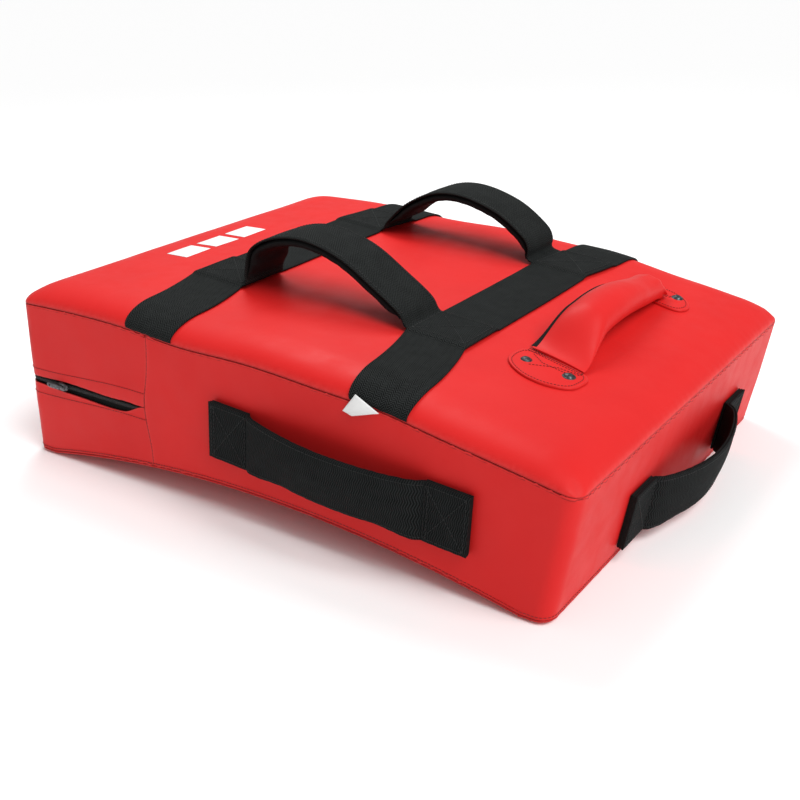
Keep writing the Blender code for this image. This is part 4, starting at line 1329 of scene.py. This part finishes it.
# ---- foam layers, washers -----------------------------------------------------------------------
def build_foam(node, material):
    """One foam layer with the CAD layer's outline, softened at its edges and settled."""
    shape = bmesh.new()
    shape.from_mesh(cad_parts[node].data)
    bmesh.ops.remove_doubles(shape, verts=shape.verts, dist=0.00002)
    centre = sum((v.co for v in shape.verts), Vector()) / len(shape.verts)
    for vertex in shape.verts:
        share = smooth(0.3, 0.9, vertex.co.z / seam_z(vertex.co.x))
        vertex.co = centre + (vertex.co - centre) * 0.995
        vertex.co.z += share * (min(settling(vertex.co.x), 0.0) - 0.0008)
    piece = make_object(node + "_layer", shape, material, "pad", [node], recalc=False)
    bevel = piece.modifiers.new("soft edge", "BEVEL")
    bevel.width = 0.0015
    bevel.segments = 2
    bevel.limit_method = "ANGLE"
    bevel.angle_limit = math.radians(50)
    apply_modifiers(piece)


build_foam("rear_foam", SOFT_FOAM)
build_foam("core_foam", SOFT_FOAM)
build_foam("strike_foam", DENSE_FOAM)
for corner_tag in CORNER_TAGS:
    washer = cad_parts["washer_" + corner_tag]
    washer.data.materials.clear()
    washer.data.materials.append(GUNMETAL)


# ---- floor, light, camera -----------------------------------------------------------------------
WHITE = (1.0, 1.0, 1.0, 1.0)
FLOOR_HALF = 80
SKY_STRENGTH = 0.42
KEY_STRENGTH = 2.3
KEY_ANGLE = math.radians(38)
KEY_TOWARD = (0.60, -0.10, 0.79)
LENS = 52.04                 # millimetres, on a sensor 36 wide
AIM = Vector((0.0262, -0.0703, 0.0712))
DISTANCE = 1.0333
AZIMUTH = math.radians(33.803)
ELEVATION = math.radians(23.66)
ROLL = math.radians(-0.348)


def add_light(name, kind, energy, toward, place=(0, 0, 0)):
    """A light whose back is turned in the direction toward, so that it shines the other way."""
    data = bpy.data.lights.new(name, kind)
    data.energy = energy
    light = bpy.data.objects.new(name, data)
    light.location = place
    light.rotation_euler = Vector(toward).to_track_quat("Z", "Y").to_euler()
    bpy.context.scene.collection.objects.link(light)
    return data


def area_light(name, place, aim, size, power_watts):
    data = add_light(name, "AREA", power_watts, Vector(place) - Vector(aim), place)
    data.shape = "DISK"
    data.size = size


def build_stage():
    shape = bmesh.new()
    corners = [(-1, -1), (1, -1), (1, 1), (-1, 1)]
    shape.faces.new([shape.verts.new((x * FLOOR_HALF, y * FLOOR_HALF, -0.0005)) for x, y in corners])
    mesh = bpy.data.meshes.new("floor")
    shape.to_mesh(mesh)
    shape.free()
    floor = bpy.data.objects.new("floor", mesh)
    paper = Nodes("floor", 0.9, 0.2)
    paper.shader.inputs["Base Color"].default_value = WHITE
    mesh.materials.append(paper.material)
    bpy.context.scene.collection.objects.link(floor)

    world = bpy.data.worlds.new("studio")
    bpy.context.scene.world = world
    world.use_nodes = True
    world.node_tree.nodes["Background"].inputs[0].default_value = WHITE
    world.node_tree.nodes["Background"].inputs[1].default_value = SKY_STRENGTH
    sun = add_light("key", "SUN", KEY_STRENGTH, KEY_TOWARD)
    sun.angle = KEY_ANGLE
    area_light("right", (1.9, -0.9, 0.9), (0.15, -0.1, 0.08), 0.9, 2)
    area_light("back", (-0.5, 0.5, 1.3), (0.1, -0.15, 0.15), 0.7, 9)
    bpy.context.scene.view_settings.view_transform = "Standard"


def build_camera():
    back = Vector((math.sin(AZIMUTH) * math.cos(ELEVATION), -math.cos(AZIMUTH) * math.cos(ELEVATION),
                   math.sin(ELEVATION)))
    right = (-back).cross(UP).normalized()
    up = right.cross(-back)
    data = bpy.data.cameras.new("camera")
    data.sensor_width = 36.0
    data.lens = LENS
    data.clip_start = 0.05
    camera = bpy.data.objects.new("camera", data)
    bpy.context.scene.collection.objects.link(camera)
    columns = (right * math.cos(ROLL) + up * math.sin(ROLL),
               up * math.cos(ROLL) - right * math.sin(ROLL), back, AIM + back * DISTANCE)
    matrix = camera.matrix_world.copy()
    for column, vector in enumerate(columns):
        for row in range(3):
            matrix[row][column] = vector[row]
    camera.matrix_world = matrix
    bpy.context.scene.camera = camera


build_stage()
build_camera()
